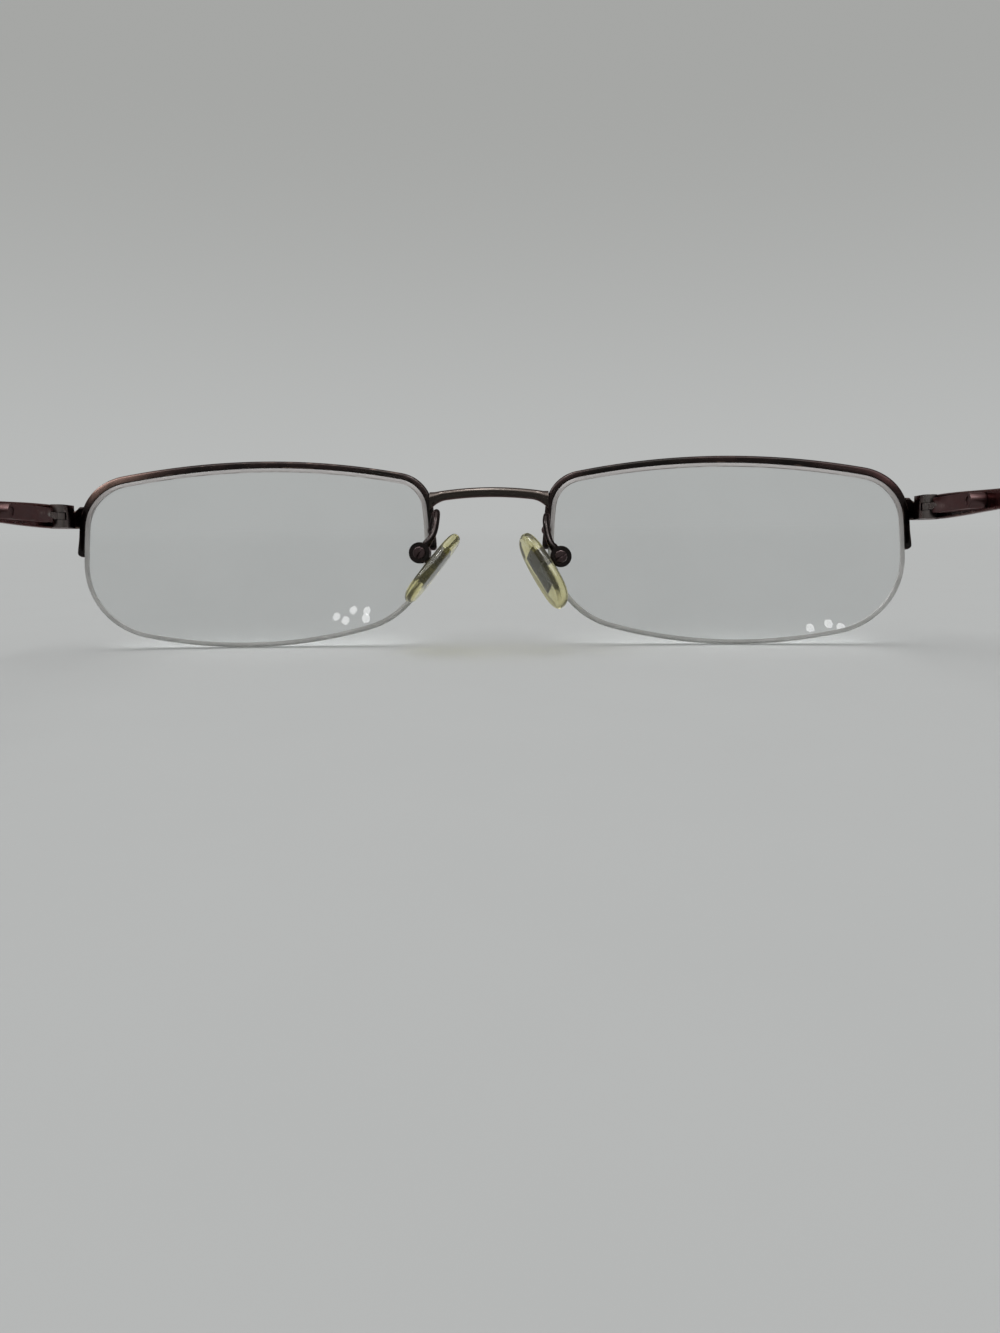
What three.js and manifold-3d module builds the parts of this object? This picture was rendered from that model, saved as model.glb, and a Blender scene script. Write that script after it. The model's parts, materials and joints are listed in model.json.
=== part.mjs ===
// Semi-rimless eyeglasses standing open on a table, in millimetres, with Z up.
// The wearer looks along +Y and X points to the wearer's right.
import * as THREE from 'three';
import Module from 'manifold-3d';

const wasm = await Module();
wasm.setup();

// Lens outline: four large side arcs joined by four corner arcs
const lensWidth = 51;
const lensHeight = 26.6;
const lensGap = 18;
const topRadius = 91;
const topShift = -1.3;
const bottomRadius = 73;
const bottomShift = 2.5;
const nasalRadius = 61;
const temporalRadius = 96;
const topNasalCorner = 5;
const topTemporalCorner = 7;
const bottomTemporalCorner = 11;
const bottomNasalCorner = 12;

// Lens body and the groove round its edge
const lensCurve = 110;
const lensThickness = 2;
const grooveWidth = 0.68;
const grooveDepth = 0.36;
const faceFormAngle = 1.5;
const pantoscopicAngle = 8.3;

// Metal half rim, its nylon liner and the nylon cord below
const rimThickness = 1.1;
const rimDepth = 1.9;
const rimChamfer = 0.28;
const channelDepth = 0.42;
const rimNasalEnd = 0.1;
const rimTemporalEnd = -0.2;
const rimEndTaper = 0.35;
const cordDiameter = 0.6;
const cordInsert = 1.4;
const linerWidth = 0.56;
const fitGap = 0.05;

// Bridge bar
const bridgeHeight = 1.4;
const bridgeDepth = 1.7;
const bridgeBelowTop = 5;
const bridgeRise = 0.8;
const bridgeBow = 0.8;
const bridgeFlare = 0.8;
const bridgeFlareLength = 1.8;

// Endpiece and hinge
const hingeBelowTop = 6.95;
const bladeThickness = 1.1;
const bladeSpread = 2.55;
const endpieceHeight = 2.6;
const endpieceDrop = 0.35;
const endpieceRun = 4.4;
const endpieceBend = 1.9;
const hingeSetback = 0.9;
const buttGap = 0.45;
const leafLength = 2.2;
const knuckleRadius = 0.98;
const knuckleHeight = 1.1;
const eyeRadius = 0.95;
const eyeHeight = 1;
const pinRadius = 0.42;
const pinClearance = 0.08;
const screwHeadRadius = 0.66;
const screwHeadHeight = 0.4;

// Spring hinge box on the temple
const boxSize = 2;
const boxLength = 12;
const boxSetback = 3.7;
const boreSize = 1.4;
const boreLength = 9.8;
const stopLength = 1.4;
const shankRadius = 0.32;
const collarLength = 1;
const springLength = 6.4;
const springRadius = 0.5;
const springWire = 0.11;
const springTurns = 7;
const neckSize = 0.9;

// Temple arm and its plastic tip
const bladeHeight = 3.4;
const bladeWaist = 2.3;
const bladeWaistRun = 24;
const coreSize = 1.25;
const earRun = 88;
const earRadius = 22;
const earAngle = 38;
const tipDrop = 32;
const tipStart = 64;
const tipHeight = 4.4;
const tipThickness = 2.5;
const coreShort = 9;

// Nose pads
const padLength = 11.8;
const padWidth = 7;
const padThickness = 1.7;
const padSquareness = 2.6;
const padSetback = 1.2;
const padTilt = 18;
const padPlateLength = 6;
const padPlateWidth = 3.2;
const padPlateThickness = 0.45;
const padBoxSetback = 10;
const padBoxRadius = 1.5;
const padBoxLength = 2;
const padLugThickness = 0.7;
const padScrewRadius = 0.36;
const padWire = 0.95;
const padWireLevel = 3.3;
const padLoopHeight = 5.8;
const padLoopForward = 2.9;
// Each side's pad is bent to its own place
const padBoxInset = { right: 1.35, left: 0.55 };
const padBoxLevel = { right: -0.1, left: 0.6 };
const padLoopReach = { right: 1.95, left: 2.15 };
const padReach = { right: 3.35, left: 2.75 };
const padSlide = { right: 0.75, left: 0.6 };
const padLean = { right: 31, left: 38 };
const padSplay = { right: 21, left: 2 };

const metal = new THREE.MeshStandardMaterial({ color: 0x3b2724, roughness: 0.32, metalness: 0.9 });
const plate = new THREE.MeshStandardMaterial({ color: 0x6a5a56, roughness: 0.3, metalness: 0.95 });
const steel = new THREE.MeshStandardMaterial({ color: 0x8d8a86, roughness: 0.3, metalness: 1 });
const glass = new THREE.MeshStandardMaterial({
  color: 0xe9eeee,
  roughness: 0.04,
  metalness: 0,
  transparent: true,
  opacity: 0.35,
});
const nylon = new THREE.MeshStandardMaterial({ color: 0xb9bdbb, roughness: 0.35, metalness: 0 });
const silicone = new THREE.MeshStandardMaterial({ color: 0xd6d3b0, roughness: 0.25, metalness: 0 });
const acetate = new THREE.MeshStandardMaterial({ color: 0x2c1a16, roughness: 0.2, metalness: 0 });

const bridgeLevel = lensHeight / 2 - bridgeBelowTop;
const hingeLevel = lensHeight / 2 - hingeBelowTop;
const rad = THREE.MathUtils.degToRad;
const lerp = THREE.MathUtils.lerp;
const vec = (x, y, z) => new THREE.Vector3(x, y, z);

// Closed surface through rings of points, ended by poles or by flat caps
function loft(rings, section, startPole, endPole) {
  const count = rings[0].length;
  const points = rings.flat();
  const index = [];
  for (let i = 0; i + 1 < rings.length; i += 1) {
    for (let j = 0; j < count; j += 1) {
      const a = i * count + j;
      const b = i * count + ((j + 1) % count);
      index.push(a, b, b + count, a, b + count, a + count);
    }
  }
  const last = (rings.length - 1) * count;
  if (startPole) {
    const s = points.push(startPole) - 1;
    const e = points.push(endPole) - 1;
    for (let j = 0; j < count; j += 1) {
      const k = (j + 1) % count;
      index.push(s, k, j, e, last + j, last + k);
    }
  } else {
    const faces = THREE.ShapeUtils.triangulateShape(section, []);
    const turned = THREE.ShapeUtils.isClockWise(section);
    faces.forEach(([a, b, c]) => {
      const [p, q] = turned ? [c, b] : [b, c];
      index.push(a, q, p, last + a, last + p, last + q);
    });
  }
  const geometry = new THREE.BufferGeometry().setFromPoints(points);
  geometry.setIndex(index);
  return outward(geometry);
}

function flipped(geometry) {
  const index = Array.from(geometry.index.array);
  for (let i = 0; i < index.length; i += 3) {
    [index[i + 1], index[i + 2]] = [index[i + 2], index[i + 1]];
  }
  geometry.setIndex(index);
  return geometry;
}

function outward(geometry) {
  const p = geometry.attributes.position;
  const index = geometry.index.array;
  const corner = (i) => vec().fromBufferAttribute(p, index[i]);
  let volume = 0;
  for (let i = 0; i < index.length; i += 3) {
    volume += corner(i).dot(corner(i + 1).cross(corner(i + 2)));
  }
  return volume < 0 ? flipped(geometry) : geometry;
}

function mirrored(geometry) {
  return flipped(geometry.clone().scale(-1, 1, 1));
}

// Ring of a section carried along a path, with its second axis near the given up vector
function sweep(path, up, sectionAt) {
  const rings = path.map((p, i) => {
    const before = path[Math.max(i - 1, 0)];
    const after = path[Math.min(i + 1, path.length - 1)];
    const along = after.clone().sub(before).normalize();
    const side = along.clone().cross(up).normalize();
    const top = side.clone().cross(along);
    return sectionAt(i).map((s) => p.clone().addScaledVector(side, s.x).addScaledVector(top, s.y));
  });
  return loft(rings, sectionAt(0));
}

function roundSection(width, height, count) {
  return Array.from({ length: count }, (_, i) => {
    const t = ((i + 0.5) * 2 * Math.PI) / count;
    return new THREE.Vector2((Math.cos(t) * width) / 2, (Math.sin(t) * height) / 2);
  });
}

function barSection(width, height, chamfer) {
  const w = width / 2;
  const h = height / 2;
  const c = chamfer;
  return [
    new THREE.Vector2(w, h - c),
    new THREE.Vector2(w - c, h),
    new THREE.Vector2(c - w, h),
    new THREE.Vector2(-w, h - c),
    new THREE.Vector2(-w, c - h),
    new THREE.Vector2(c - w, -h),
    new THREE.Vector2(w - c, -h),
    new THREE.Vector2(w, c - h),
  ];
}

// Joining and cutting
function solid(geometry) {
  const flat = geometry.index ? geometry : geometry.clone();
  const p = flat.attributes.position;
  const keys = new Map();
  const vertProperties = [];
  const ids = [];
  for (let i = 0; i < p.count; i += 1) {
    const key = [p.getX(i), p.getY(i), p.getZ(i)].map((n) => Math.round(n * 1e4)).join();
    if (!keys.has(key)) {
      keys.set(key, keys.size);
      vertProperties.push(p.getX(i), p.getY(i), p.getZ(i));
    }
    ids.push(keys.get(key));
  }
  const order = flat.index ? Array.from(flat.index.array) : ids.map((_, i) => i);
  const triVerts = [];
  for (let i = 0; i < order.length; i += 3) {
    const [a, b, c] = [ids[order[i]], ids[order[i + 1]], ids[order[i + 2]]];
    if (a !== b && b !== c && c !== a) triVerts.push(a, b, c);
  }
  return new wasm.Manifold(
    new wasm.Mesh({
      numProp: 3,
      vertProperties: new Float32Array(vertProperties),
      triVerts: new Uint32Array(triVerts),
    }),
  );
}

function geometryOf(body) {
  const mesh = body.getMesh();
  const geometry = new THREE.BufferGeometry();
  geometry.setAttribute('position', new THREE.BufferAttribute(new Float32Array(mesh.vertProperties), 3));
  geometry.setIndex(Array.from(mesh.triVerts));
  return geometry;
}

const block = (x, y, z, at) => solid(new THREE.BoxGeometry(x, y, z).translate(at.x, at.y, at.z));
const rodZ = (r, length, at, sides = 20) =>
  solid(new THREE.CylinderGeometry(r, r, length, sides).rotateX(Math.PI / 2).translate(at.x, at.y, at.z));
const rodY = (r, length, at, sides = 20) =>
  solid(new THREE.CylinderGeometry(r, r, length, sides).translate(at.x, at.y, at.z));
const rodX = (r, length, at, sides = 20) =>
  solid(new THREE.CylinderGeometry(r, r, length, sides).rotateZ(Math.PI / 2).translate(at.x, at.y, at.z));

// Lens outline as arcs met in order of the edge's outward angle
const side = {
  nasal: { u: nasalRadius - lensWidth / 2, v: 0, r: nasalRadius },
  top: { u: topShift, v: lensHeight / 2 - topRadius, r: topRadius },
  temporal: { u: lensWidth / 2 - temporalRadius, v: 0, r: temporalRadius },
  bottom: { u: bottomShift, v: bottomRadius - lensHeight / 2, r: bottomRadius },
};

function cornerArc(a, b, r, towardU, towardV) {
  const distance = Math.hypot(b.u - a.u, b.v - a.v);
  const eu = (b.u - a.u) / distance;
  const ev = (b.v - a.v) / distance;
  const along = ((a.r - r) ** 2 - (b.r - r) ** 2 + distance ** 2) / (2 * distance);
  const across = Math.sqrt((a.r - r) ** 2 - along ** 2);
  const picks = [1, -1].map((s) => ({
    u: a.u + along * eu - s * across * ev,
    v: a.v + along * ev + s * across * eu,
    r,
  }));
  picks.sort((p, q) => (q.u - p.u) * towardU + (q.v - p.v) * towardV);
  return picks[0];
}

const topNasal = cornerArc(side.nasal, side.top, topNasalCorner, -1, 1);
const topTemporal = cornerArc(side.top, side.temporal, topTemporalCorner, 1, 1);
const bottomTemporal = cornerArc(side.temporal, side.bottom, bottomTemporalCorner, 1, -1);
const bottomNasal = cornerArc(side.bottom, side.nasal, bottomNasalCorner, -1, -1);
const angleTo = (a, b) => Math.atan2(b.v - a.v, b.u - a.u);
const turn = 2 * Math.PI;
const nasalJoin = angleTo(side.nasal, bottomNasal);
const nasalStart = nasalJoin > 0 ? nasalJoin - turn : nasalJoin;
const sideStep = rad(4.6);
const cornerStep = rad(14);
const arcs = [
  { arc: side.nasal, from: nasalStart + turn, step: sideStep },
  { arc: topNasal, from: angleTo(side.nasal, topNasal), step: cornerStep },
  { arc: side.top, from: angleTo(side.top, topNasal), step: sideStep },
  { arc: topTemporal, from: angleTo(side.top, topTemporal), step: cornerStep },
  { arc: side.temporal, from: angleTo(side.temporal, topTemporal), step: sideStep },
  { arc: bottomTemporal, from: angleTo(side.temporal, bottomTemporal), step: cornerStep },
  { arc: side.bottom, from: angleTo(side.bottom, bottomTemporal), step: sideStep },
  { arc: bottomNasal, from: angleTo(side.bottom, bottomNasal), step: cornerStep },
  { arc: side.nasal, from: nasalStart, step: sideStep },
];
const lastAngle = angleTo(side.nasal, topNasal) - turn;

function edgeSample(arc, t) {
  return {
    u: arc.u + arc.r * Math.cos(t),
    v: arc.v + arc.r * Math.sin(t),
    nu: Math.cos(t),
    nv: Math.sin(t),
  };
}

// Samples of the lens edge from one outward angle down to another
function edgeBetween(start, end) {
  const samples = [];
  arcs.forEach(({ arc, from, step }, i) => {
    const to = i + 1 < arcs.length ? arcs[i + 1].from : lastAngle;
    const a = Math.min(from, start);
    const b = Math.max(to, end);
    if (a - b < 1e-6) return;
    const pieces = Math.ceil((a - b) / step - 1e-6);
    for (let k = 0; k < pieces; k += 1) samples.push(edgeSample(arc, lerp(a, b, k / pieces)));
    if (b - end < 1e-6) samples.push(edgeSample(arc, b));
  });
  return samples;
}

const nasalAngle = (v) => Math.PI - Math.asin(v / nasalRadius);
const temporalAngle = (v) => Math.asin(v / temporalRadius);
const sag = (u, v) => Math.sqrt(lensCurve ** 2 - u ** 2 - v ** 2) - lensCurve;

// Right lens place: u towards the temple, v up, w forward
function place(u, v, w) {
  const p = vec(u, w, v);
  p.applyAxisAngle(vec(0, 0, 1), -rad(faceFormAngle));
  p.x += (lensWidth + lensGap) / 2;
  return p.applyAxisAngle(vec(1, 0, 0), -rad(pantoscopicAngle));
}

function atEdge(s, n, w) {
  return place(s.u + n * s.nu, s.v + n * s.nv, sag(s.u, s.v) - lensThickness / 2 + w);
}

// Lens
function lensGeometry() {
  const edge = edgeBetween(Math.PI, -Math.PI).slice(0, -1);
  const half = lensThickness / 2;
  const g = grooveWidth / 2;
  const shares = [0.3, 0.6, 0.85];
  const face = (share, depth) =>
    edge.map((s) => place(s.u * share, s.v * share, sag(s.u * share, s.v * share) - depth));
  const rings = shares.map((share) => face(share, lensThickness));
  const profile = [
    [0, -half],
    [0, -g],
    [-grooveDepth, -g],
    [-grooveDepth, g],
    [0, g],
    [0, half],
  ];
  profile.forEach(([n, w]) => rings.push(edge.map((s) => atEdge(s, n, w))));
  shares.reverse().forEach((share) => rings.push(face(share, 0)));
  return loft(rings, null, place(0, 0, -lensThickness), place(0, 0, 0));
}

// Half rim with the channel that holds the liner
function rimGeometry() {
  const edge = edgeBetween(nasalAngle(rimNasalEnd), temporalAngle(rimTemporalEnd));
  const first = edge[0];
  const last = edge[edge.length - 1];
  const past = (s, way) => ({ ...s, u: s.u + way * rimEndTaper * s.nv, v: s.v - way * rimEndTaper * s.nu });
  const samples = [past(first, -1), ...edge, past(last, 1)];
  const inner = fitGap;
  const h = rimDepth / 2;
  const c = rimChamfer;
  const g = grooveWidth / 2;
  const section = (outer) => [
    new THREE.Vector2(inner, -h),
    new THREE.Vector2(outer - c, -h),
    new THREE.Vector2(outer, c - h),
    new THREE.Vector2(outer, h - c),
    new THREE.Vector2(outer - c, h),
    new THREE.Vector2(inner, h),
    new THREE.Vector2(inner, g),
    new THREE.Vector2(inner + channelDepth, g),
    new THREE.Vector2(inner + channelDepth, -g),
    new THREE.Vector2(inner, -g),
  ];
  const rings = samples.map((s, i) => {
    const ending = i === 0 || i === samples.length - 1;
    const outer = fitGap + rimThickness - (ending ? rimEndTaper : 0);
    return section(outer).map((q) => atEdge(s, q.x, q.y));
  });
  return loft(rings, section(fitGap + rimThickness));
}

function linerGeometry() {
  const inside = cordInsert + 0.3;
  const edge = edgeBetween(nasalAngle(rimNasalEnd + inside), temporalAngle(rimTemporalEnd + inside));
  const low = fitGap - grooveDepth;
  const high = channelDepth;
  const w = linerWidth / 2;
  const section = [
    new THREE.Vector2(low, -w),
    new THREE.Vector2(high, -w),
    new THREE.Vector2(high, w),
    new THREE.Vector2(low, w),
  ];
  return loft(edge.map((s) => section.map((q) => atEdge(s, q.x, q.y))), section);
}

function cordGeometry() {
  const start = temporalAngle(rimTemporalEnd + cordInsert);
  const end = nasalAngle(rimNasalEnd + cordInsert) - turn;
  const section = roundSection(cordDiameter, cordDiameter, 8);
  return loft(edgeBetween(start, end).map((s) => section.map((q) => atEdge(s, q.x, q.y))), section);
}

// Bridge bar, arched up and forward, deeper where it meets the rims
function bridgeGeometry() {
  const nasal = { u: -lensWidth / 2, v: bridgeLevel };
  const foot = bridgeLevel - bridgeHeight / 2 - bridgeFlare;
  const seat = edgeSample(side.nasal, nasalAngle(foot));
  const reach = atEdge(seat, fitGap + rimThickness, -rimDepth / 2).x - 2 * fitGap;
  const depth = sag(nasal.u, nasal.v) - lensThickness / 2;
  const count = 20;
  const path = [];
  const flare = [];
  for (let i = 0; i <= count; i += 1) {
    const t = -Math.cos((Math.PI * i) / count);
    const arch = 1 - t * t;
    const near = Math.max(0, 1 - (reach * (1 - Math.abs(t))) / bridgeFlareLength);
    flare.push(bridgeFlare * near * near);
    const level = bridgeLevel + bridgeRise * arch - flare[i] / 2;
    const p = vec(reach * t, depth + bridgeBow * arch, level);
    path.push(p.applyAxisAngle(vec(1, 0, 0), -rad(pantoscopicAngle)));
  }
  return sweep(path, vec(0, 0, 1), (i) => barSection(bridgeDepth, bridgeHeight + flare[i], 0.35));
}

// Hinge datum on the right side
const rimSide = atEdge(edgeSample(side.temporal, temporalAngle(hingeLevel)), fitGap + rimThickness, 0);
const bladeOuter = rimSide.x + bladeSpread + bladeThickness / 2;
const bladeMiddle = bladeOuter - bladeThickness / 2;
const bladeInner = bladeOuter - bladeThickness;
const buttY = rimSide.y - endpieceRun;
const hinge = vec(bladeInner - knuckleRadius - 1.5 * fitGap, buttY - hingeSetback, hingeLevel);
const boxFront = hinge.y - boxSetback;
const leafTall = eyeHeight / 2 + fitGap + knuckleHeight;

function endpieceGeometry() {
  const startX = rimSide.x + 3 * fitGap;
  const path = [vec(startX, rimSide.y, 0)];
  const bendX = bladeMiddle - endpieceBend;
  const bendY = rimSide.y - endpieceBend;
  for (let i = 0; i <= 6; i += 1) {
    const t = ((1 - i / 6) * Math.PI) / 2;
    const x = bendX + endpieceBend * Math.cos(t);
    path.push(vec(x, bendY + endpieceBend * Math.sin(t), 0));
  }
  path.push(vec(bladeMiddle, buttY, 0));
  const end = path.length - 1;
  const rise = (i) => THREE.MathUtils.smoothstep(i, 1, end - 1);
  path.forEach((p, i) => p.setZ(hingeLevel - lerp(endpieceDrop, 0, rise(i))));
  const heightAt = (i) => lerp(endpieceHeight, bladeHeight, rise(i));
  return sweep(path, vec(0, 0, 1), (i) => barSection(bladeThickness, heightAt(i), 0.22));
}

// Front half of the hinge: two knuckles on a block behind the endpiece, the upper one sunk for the screw
function leafGeometry() {
  const inner = bladeInner - fitGap;
  const front = buttY + leafLength;
  const wide = inner - (hinge.x - knuckleRadius);
  const deep = front - hinge.y;
  const foot = vec(inner - wide / 2, hinge.y + deep / 2, hinge.z);
  const keep = front - (buttY + 2 * fitGap);
  const pad = block(wide, keep, 2 * leafTall, vec(foot.x, front - keep / 2, hinge.z));
  const web = block(2 * knuckleRadius, deep, 2 * leafTall, vec(hinge.x, foot.y, hinge.z));
  const barrel = rodZ(knuckleRadius, 2 * leafTall, hinge);
  const swing = rodZ(eyeRadius + 0.15, eyeHeight + 2 * fitGap, hinge, 24);
  const behind = block(4, 2, eyeHeight + 2 * fitGap, vec(hinge.x, hinge.y - 1, hinge.z));
  const hole = rodZ(pinRadius + pinClearance, 4 * leafTall, hinge);
  const sunkAt = vec(hinge.x, hinge.y, hinge.z + leafTall);
  const sunk = rodZ(screwHeadRadius + pinClearance, 2 * (screwHeadHeight + fitGap), sunkAt);
  const leaf = pad.add(web).add(barrel).subtract(swing).subtract(behind);
  return geometryOf(leaf.subtract(hole).subtract(sunk));
}

function hingeScrewGeometry() {
  const headAt = vec(hinge.x, hinge.y, hinge.z + leafTall - screwHeadHeight / 2);
  const shankAt = vec(hinge.x, hinge.y, hinge.z - screwHeadHeight / 4);
  const shank = rodZ(pinRadius, 2 * leafTall - screwHeadHeight / 2, shankAt, 14);
  const head = rodZ(screwHeadRadius, screwHeadHeight, headAt, 18);
  const slot = block(2, 0.24, 0.4, vec(hinge.x, hinge.y, headAt.z + 0.22));
  return geometryOf(shank.add(head).subtract(slot));
}

// Sliding half of the hinge: eye, neck and the rod that pulls on the spring
function sliderGeometry() {
  const eye = rodZ(eyeRadius, eyeHeight - fitGap, hinge, 24);
  const shoulder = boxFront + fitGap;
  const reach = hinge.y - shoulder;
  const neck = block(neckSize, reach, neckSize, vec(hinge.x, hinge.y - reach / 2, hinge.z));
  const rodEnd = boxFront - stopLength - springLength - collarLength - 0.5;
  const rodLength = shoulder + 0.2 - rodEnd;
  const rod = rodY(shankRadius, rodLength, vec(hinge.x, rodEnd + rodLength / 2, hinge.z), 10);
  const hole = rodZ(pinRadius + pinClearance, 4, hinge);
  return geometryOf(eye.add(neck).add(rod).subtract(hole));
}

function springBoxGeometry() {
  const half = boxSize / 2;
  const shape = new THREE.Shape();
  shape.moveTo(0, -half);
  shape.lineTo(0, half);
  shape.lineTo(half - boxLength, half);
  shape.absarc(half - boxLength, 0, half, Math.PI / 2, (3 * Math.PI) / 2, false);
  const body = new THREE.ExtrudeGeometry(shape, { depth: boxSize, bevelEnabled: false, curveSegments: 8 });
  body.rotateX(Math.PI / 2).rotateZ(Math.PI / 2).rotateY(Math.PI / 2);
  body.center();
  const middle = vec(hinge.x, boxFront - boxLength / 2, hinge.z);
  body.translate(middle.x, middle.y, middle.z);
  const bore = block(boreSize, 2 * boreLength, boreSize, vec(hinge.x, boxFront, hinge.z));
  const fork = block(boxSize, 2.4, 0.7, vec(hinge.x - half, boxFront, hinge.z));
  const dot = rodX(0.55, 0.3, vec(hinge.x - half, boxFront - boxLength + half, hinge.z), 16);
  return geometryOf(solid(body).subtract(bore).subtract(fork).subtract(dot));
}

function stopGeometry() {
  const size = boreSize - 2 * fitGap;
  const at = vec(hinge.x, boxFront - fitGap - stopLength / 2, hinge.z);
  const hole = rodY(shankRadius + pinClearance, 2 * stopLength, at, 12);
  return geometryOf(block(size, stopLength - fitGap, size, at).subtract(hole));
}

function collarGeometry() {
  const y = boxFront - stopLength - springLength - 0.15 - collarLength / 2;
  const at = vec(hinge.x, y, hinge.z);
  const hole = rodY(shankRadius + fitGap, 2 * collarLength, at, 12);
  return geometryOf(rodY(boreSize / 2 - 2 * fitGap, collarLength, at, 12).subtract(hole));
}

function springGeometry() {
  const start = boxFront - stopLength - 0.1 - springWire;
  const steps = springTurns * 8;
  const length = springLength - 0.1 - 2 * springWire;
  const path = Array.from({ length: steps + 1 }, (_, i) => {
    const t = (i * 2 * Math.PI) / 8;
    const y = start - (length * i) / steps;
    return vec(hinge.x + springRadius * Math.cos(t), y, hinge.z + springRadius * Math.sin(t));
  });
  const section = roundSection(2 * springWire, 2 * springWire, 4);
  return sweep(path, vec(0, 1, 0), () => section);
}

// Temple centre line: straight to the ear, then down
const earStart = hinge.y - earRun;
const earLength = earRadius * rad(earAngle);
const templeLength = earRun + earLength + tipDrop;

function templePoint(run) {
  const bent = THREE.MathUtils.clamp((run - earRun) / earRadius, 0, rad(earAngle));
  const past = Math.max(0, run - earRun - earLength);
  const y = hinge.y - Math.min(run, earRun) - earRadius * Math.sin(bent) - past * Math.cos(bent);
  const z = hinge.z - earRadius * (1 - Math.cos(bent)) - past * Math.sin(bent);
  return vec(bladeMiddle, y, z);
}

function runs(stops, bendPieces) {
  const bends = Array.from({ length: bendPieces + 1 }, (_, i) => earRun + (earLength * i) / bendPieces);
  return [...stops, ...bends].sort((a, b) => a - b);
}

function templeSize(run) {
  const neck = THREE.MathUtils.smoothstep(run, 0, bladeWaistRun);
  const tail = THREE.MathUtils.clamp((run - bladeWaistRun) / (tipStart - bladeWaistRun), 0, 1);
  return lerp(lerp(bladeHeight, bladeWaist, neck), coreSize + 0.35, tail);
}

const bladeStart = hingeSetback * -1 + buttGap;

function templeGeometry() {
  const inTip = tipStart - 2 * fitGap;
  const stops = [bladeStart, 5, 9, 13, bladeWaistRun, 40, inTip - 0.9, inTip, templeLength - coreShort];
  const list = runs(stops, 6);
  const sectionAt = (i) => {
    const core = list[i] >= inTip;
    const size = core ? coreSize : templeSize(Math.max(list[i], 0));
    return barSection(size, core ? coreSize : bladeThickness, core ? 0.3 : 0.2);
  };
  return sweep(list.map(templePoint), vec(1, 0, 0), sectionAt);
}

function tipGeometry() {
  const end = templeLength;
  const stops = [tipStart, tipStart + 6, tipStart + 15, end - 20, end - 8, end - 2, end - 0.7, end];
  const list = runs(stops, 6);
  const grow = (run) => THREE.MathUtils.smoothstep(run, tipStart, end - 12);
  const round = (run) => Math.sqrt(Math.max(0.12, 1 - Math.max(0, (run - end + 2.2) / 2.2) ** 2));
  const sectionAt = (i) => {
    const run = list[i];
    const start = THREE.MathUtils.smoothstep(run, tipStart - 3, tipStart + 8);
    const tall = lerp(lerp(1.6, 2.6, start), tipHeight, grow(run)) * round(run);
    return roundSection(tall, lerp(1.6, tipThickness, start) * round(run), 12);
  };
  const body = solid(sweep(list.map(templePoint), vec(1, 0, 0), sectionAt));
  const holeRuns = runs([tipStart - 1, end - coreShort + 0.2], 6);
  const hole = barSection(coreSize + 2 * fitGap, coreSize + 2 * fitGap, 0.28);
  return geometryOf(body.subtract(solid(sweep(holeRuns.map(templePoint), vec(1, 0, 0), () => hole))));
}

// Nose pad group for one side, drawn on the right and mirrored for the left
function padAxisOf(which) {
  return vec(lensGap / 2 + padBoxInset[which], -padBoxSetback, padBoxLevel[which]);
}

function padFrame(which) {
  const turnTo = new THREE.Euler(-rad(padTilt), -rad(padLean[which]), rad(padSplay[which]), 'YXZ');
  const matrix = new THREE.Matrix4().makeRotationFromEuler(turnTo);
  const facing = vec(-1, 0, 0).transformDirection(matrix);
  const along = vec(0, 0, 1).transformDirection(matrix);
  const padAxis = padAxisOf(which);
  const centre = padAxis.clone().addScaledVector(facing, padReach[which]);
  centre.addScaledVector(along, -padSlide[which]).setY(padAxis.y - padSetback);
  return matrix.setPosition(centre);
}

function padPlateBody(which, grow) {
  const frame = padFrame(which);
  const size = [padPlateThickness, padPlateWidth, padPlateLength].map((n) => n + 2 * grow);
  const sheet = new THREE.BoxGeometry(...size).applyMatrix4(frame);
  const padAxis = padAxisOf(which);
  const root = vec(0, padSetback, padSlide[which]).applyMatrix4(frame);
  const way = root.clone().sub(padAxis);
  const length = way.length();
  const lug = new THREE.BoxGeometry(padLugThickness + 2 * grow, length, 1 + 2 * grow);
  const turnTo = new THREE.Matrix4().lookAt(padAxis, root, vec(0, 1, 0));
  lug.rotateX(Math.PI / 2).rotateZ(Math.PI / 2).translate(0, 0, -length / 2);
  lug.applyMatrix4(turnTo.setPosition(padAxis));
  return solid(sheet).add(solid(lug));
}

function padPlateGeometry(which) {
  const padAxis = padAxisOf(which);
  const eye = rodY(0.95, padLugThickness, padAxis, 16);
  const hole = rodY(padScrewRadius + pinClearance, 4, padAxis, 16);
  return geometryOf(padPlateBody(which, 0).add(eye).subtract(hole));
}

function nosePadGeometry(which) {
  const frame = padFrame(which);
  const count = 20;
  const layers = [
    [-0.5, 0.72],
    [-0.36, 0.92],
    [-0.1, 1],
    [0.16, 0.99],
    [0.36, 0.9],
    [0.5, 0.66],
  ];
  const squared = (n) => Math.sign(n) * Math.abs(n) ** (2 / padSquareness);
  const rings = layers.map(([level, share]) =>
    Array.from({ length: count }, (_, i) => {
      const t = ((i + 0.5) * 2 * Math.PI) / count;
      const egg = 1 - 0.12 * Math.sin(t);
      const b = (padWidth / 2) * share * squared(Math.cos(t)) * egg;
      const a = (padLength / 2) * (share * 0.6 + 0.4) * squared(Math.sin(t));
      return vec(level * padThickness, b, a).applyMatrix4(frame);
    }),
  );
  const pole = (level) => vec(level * padThickness, 0, 0).applyMatrix4(frame);
  return geometryOf(solid(loft(rings, null, pole(-0.52), pole(0.52))).subtract(padPlateBody(which, fitGap)));
}

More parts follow.
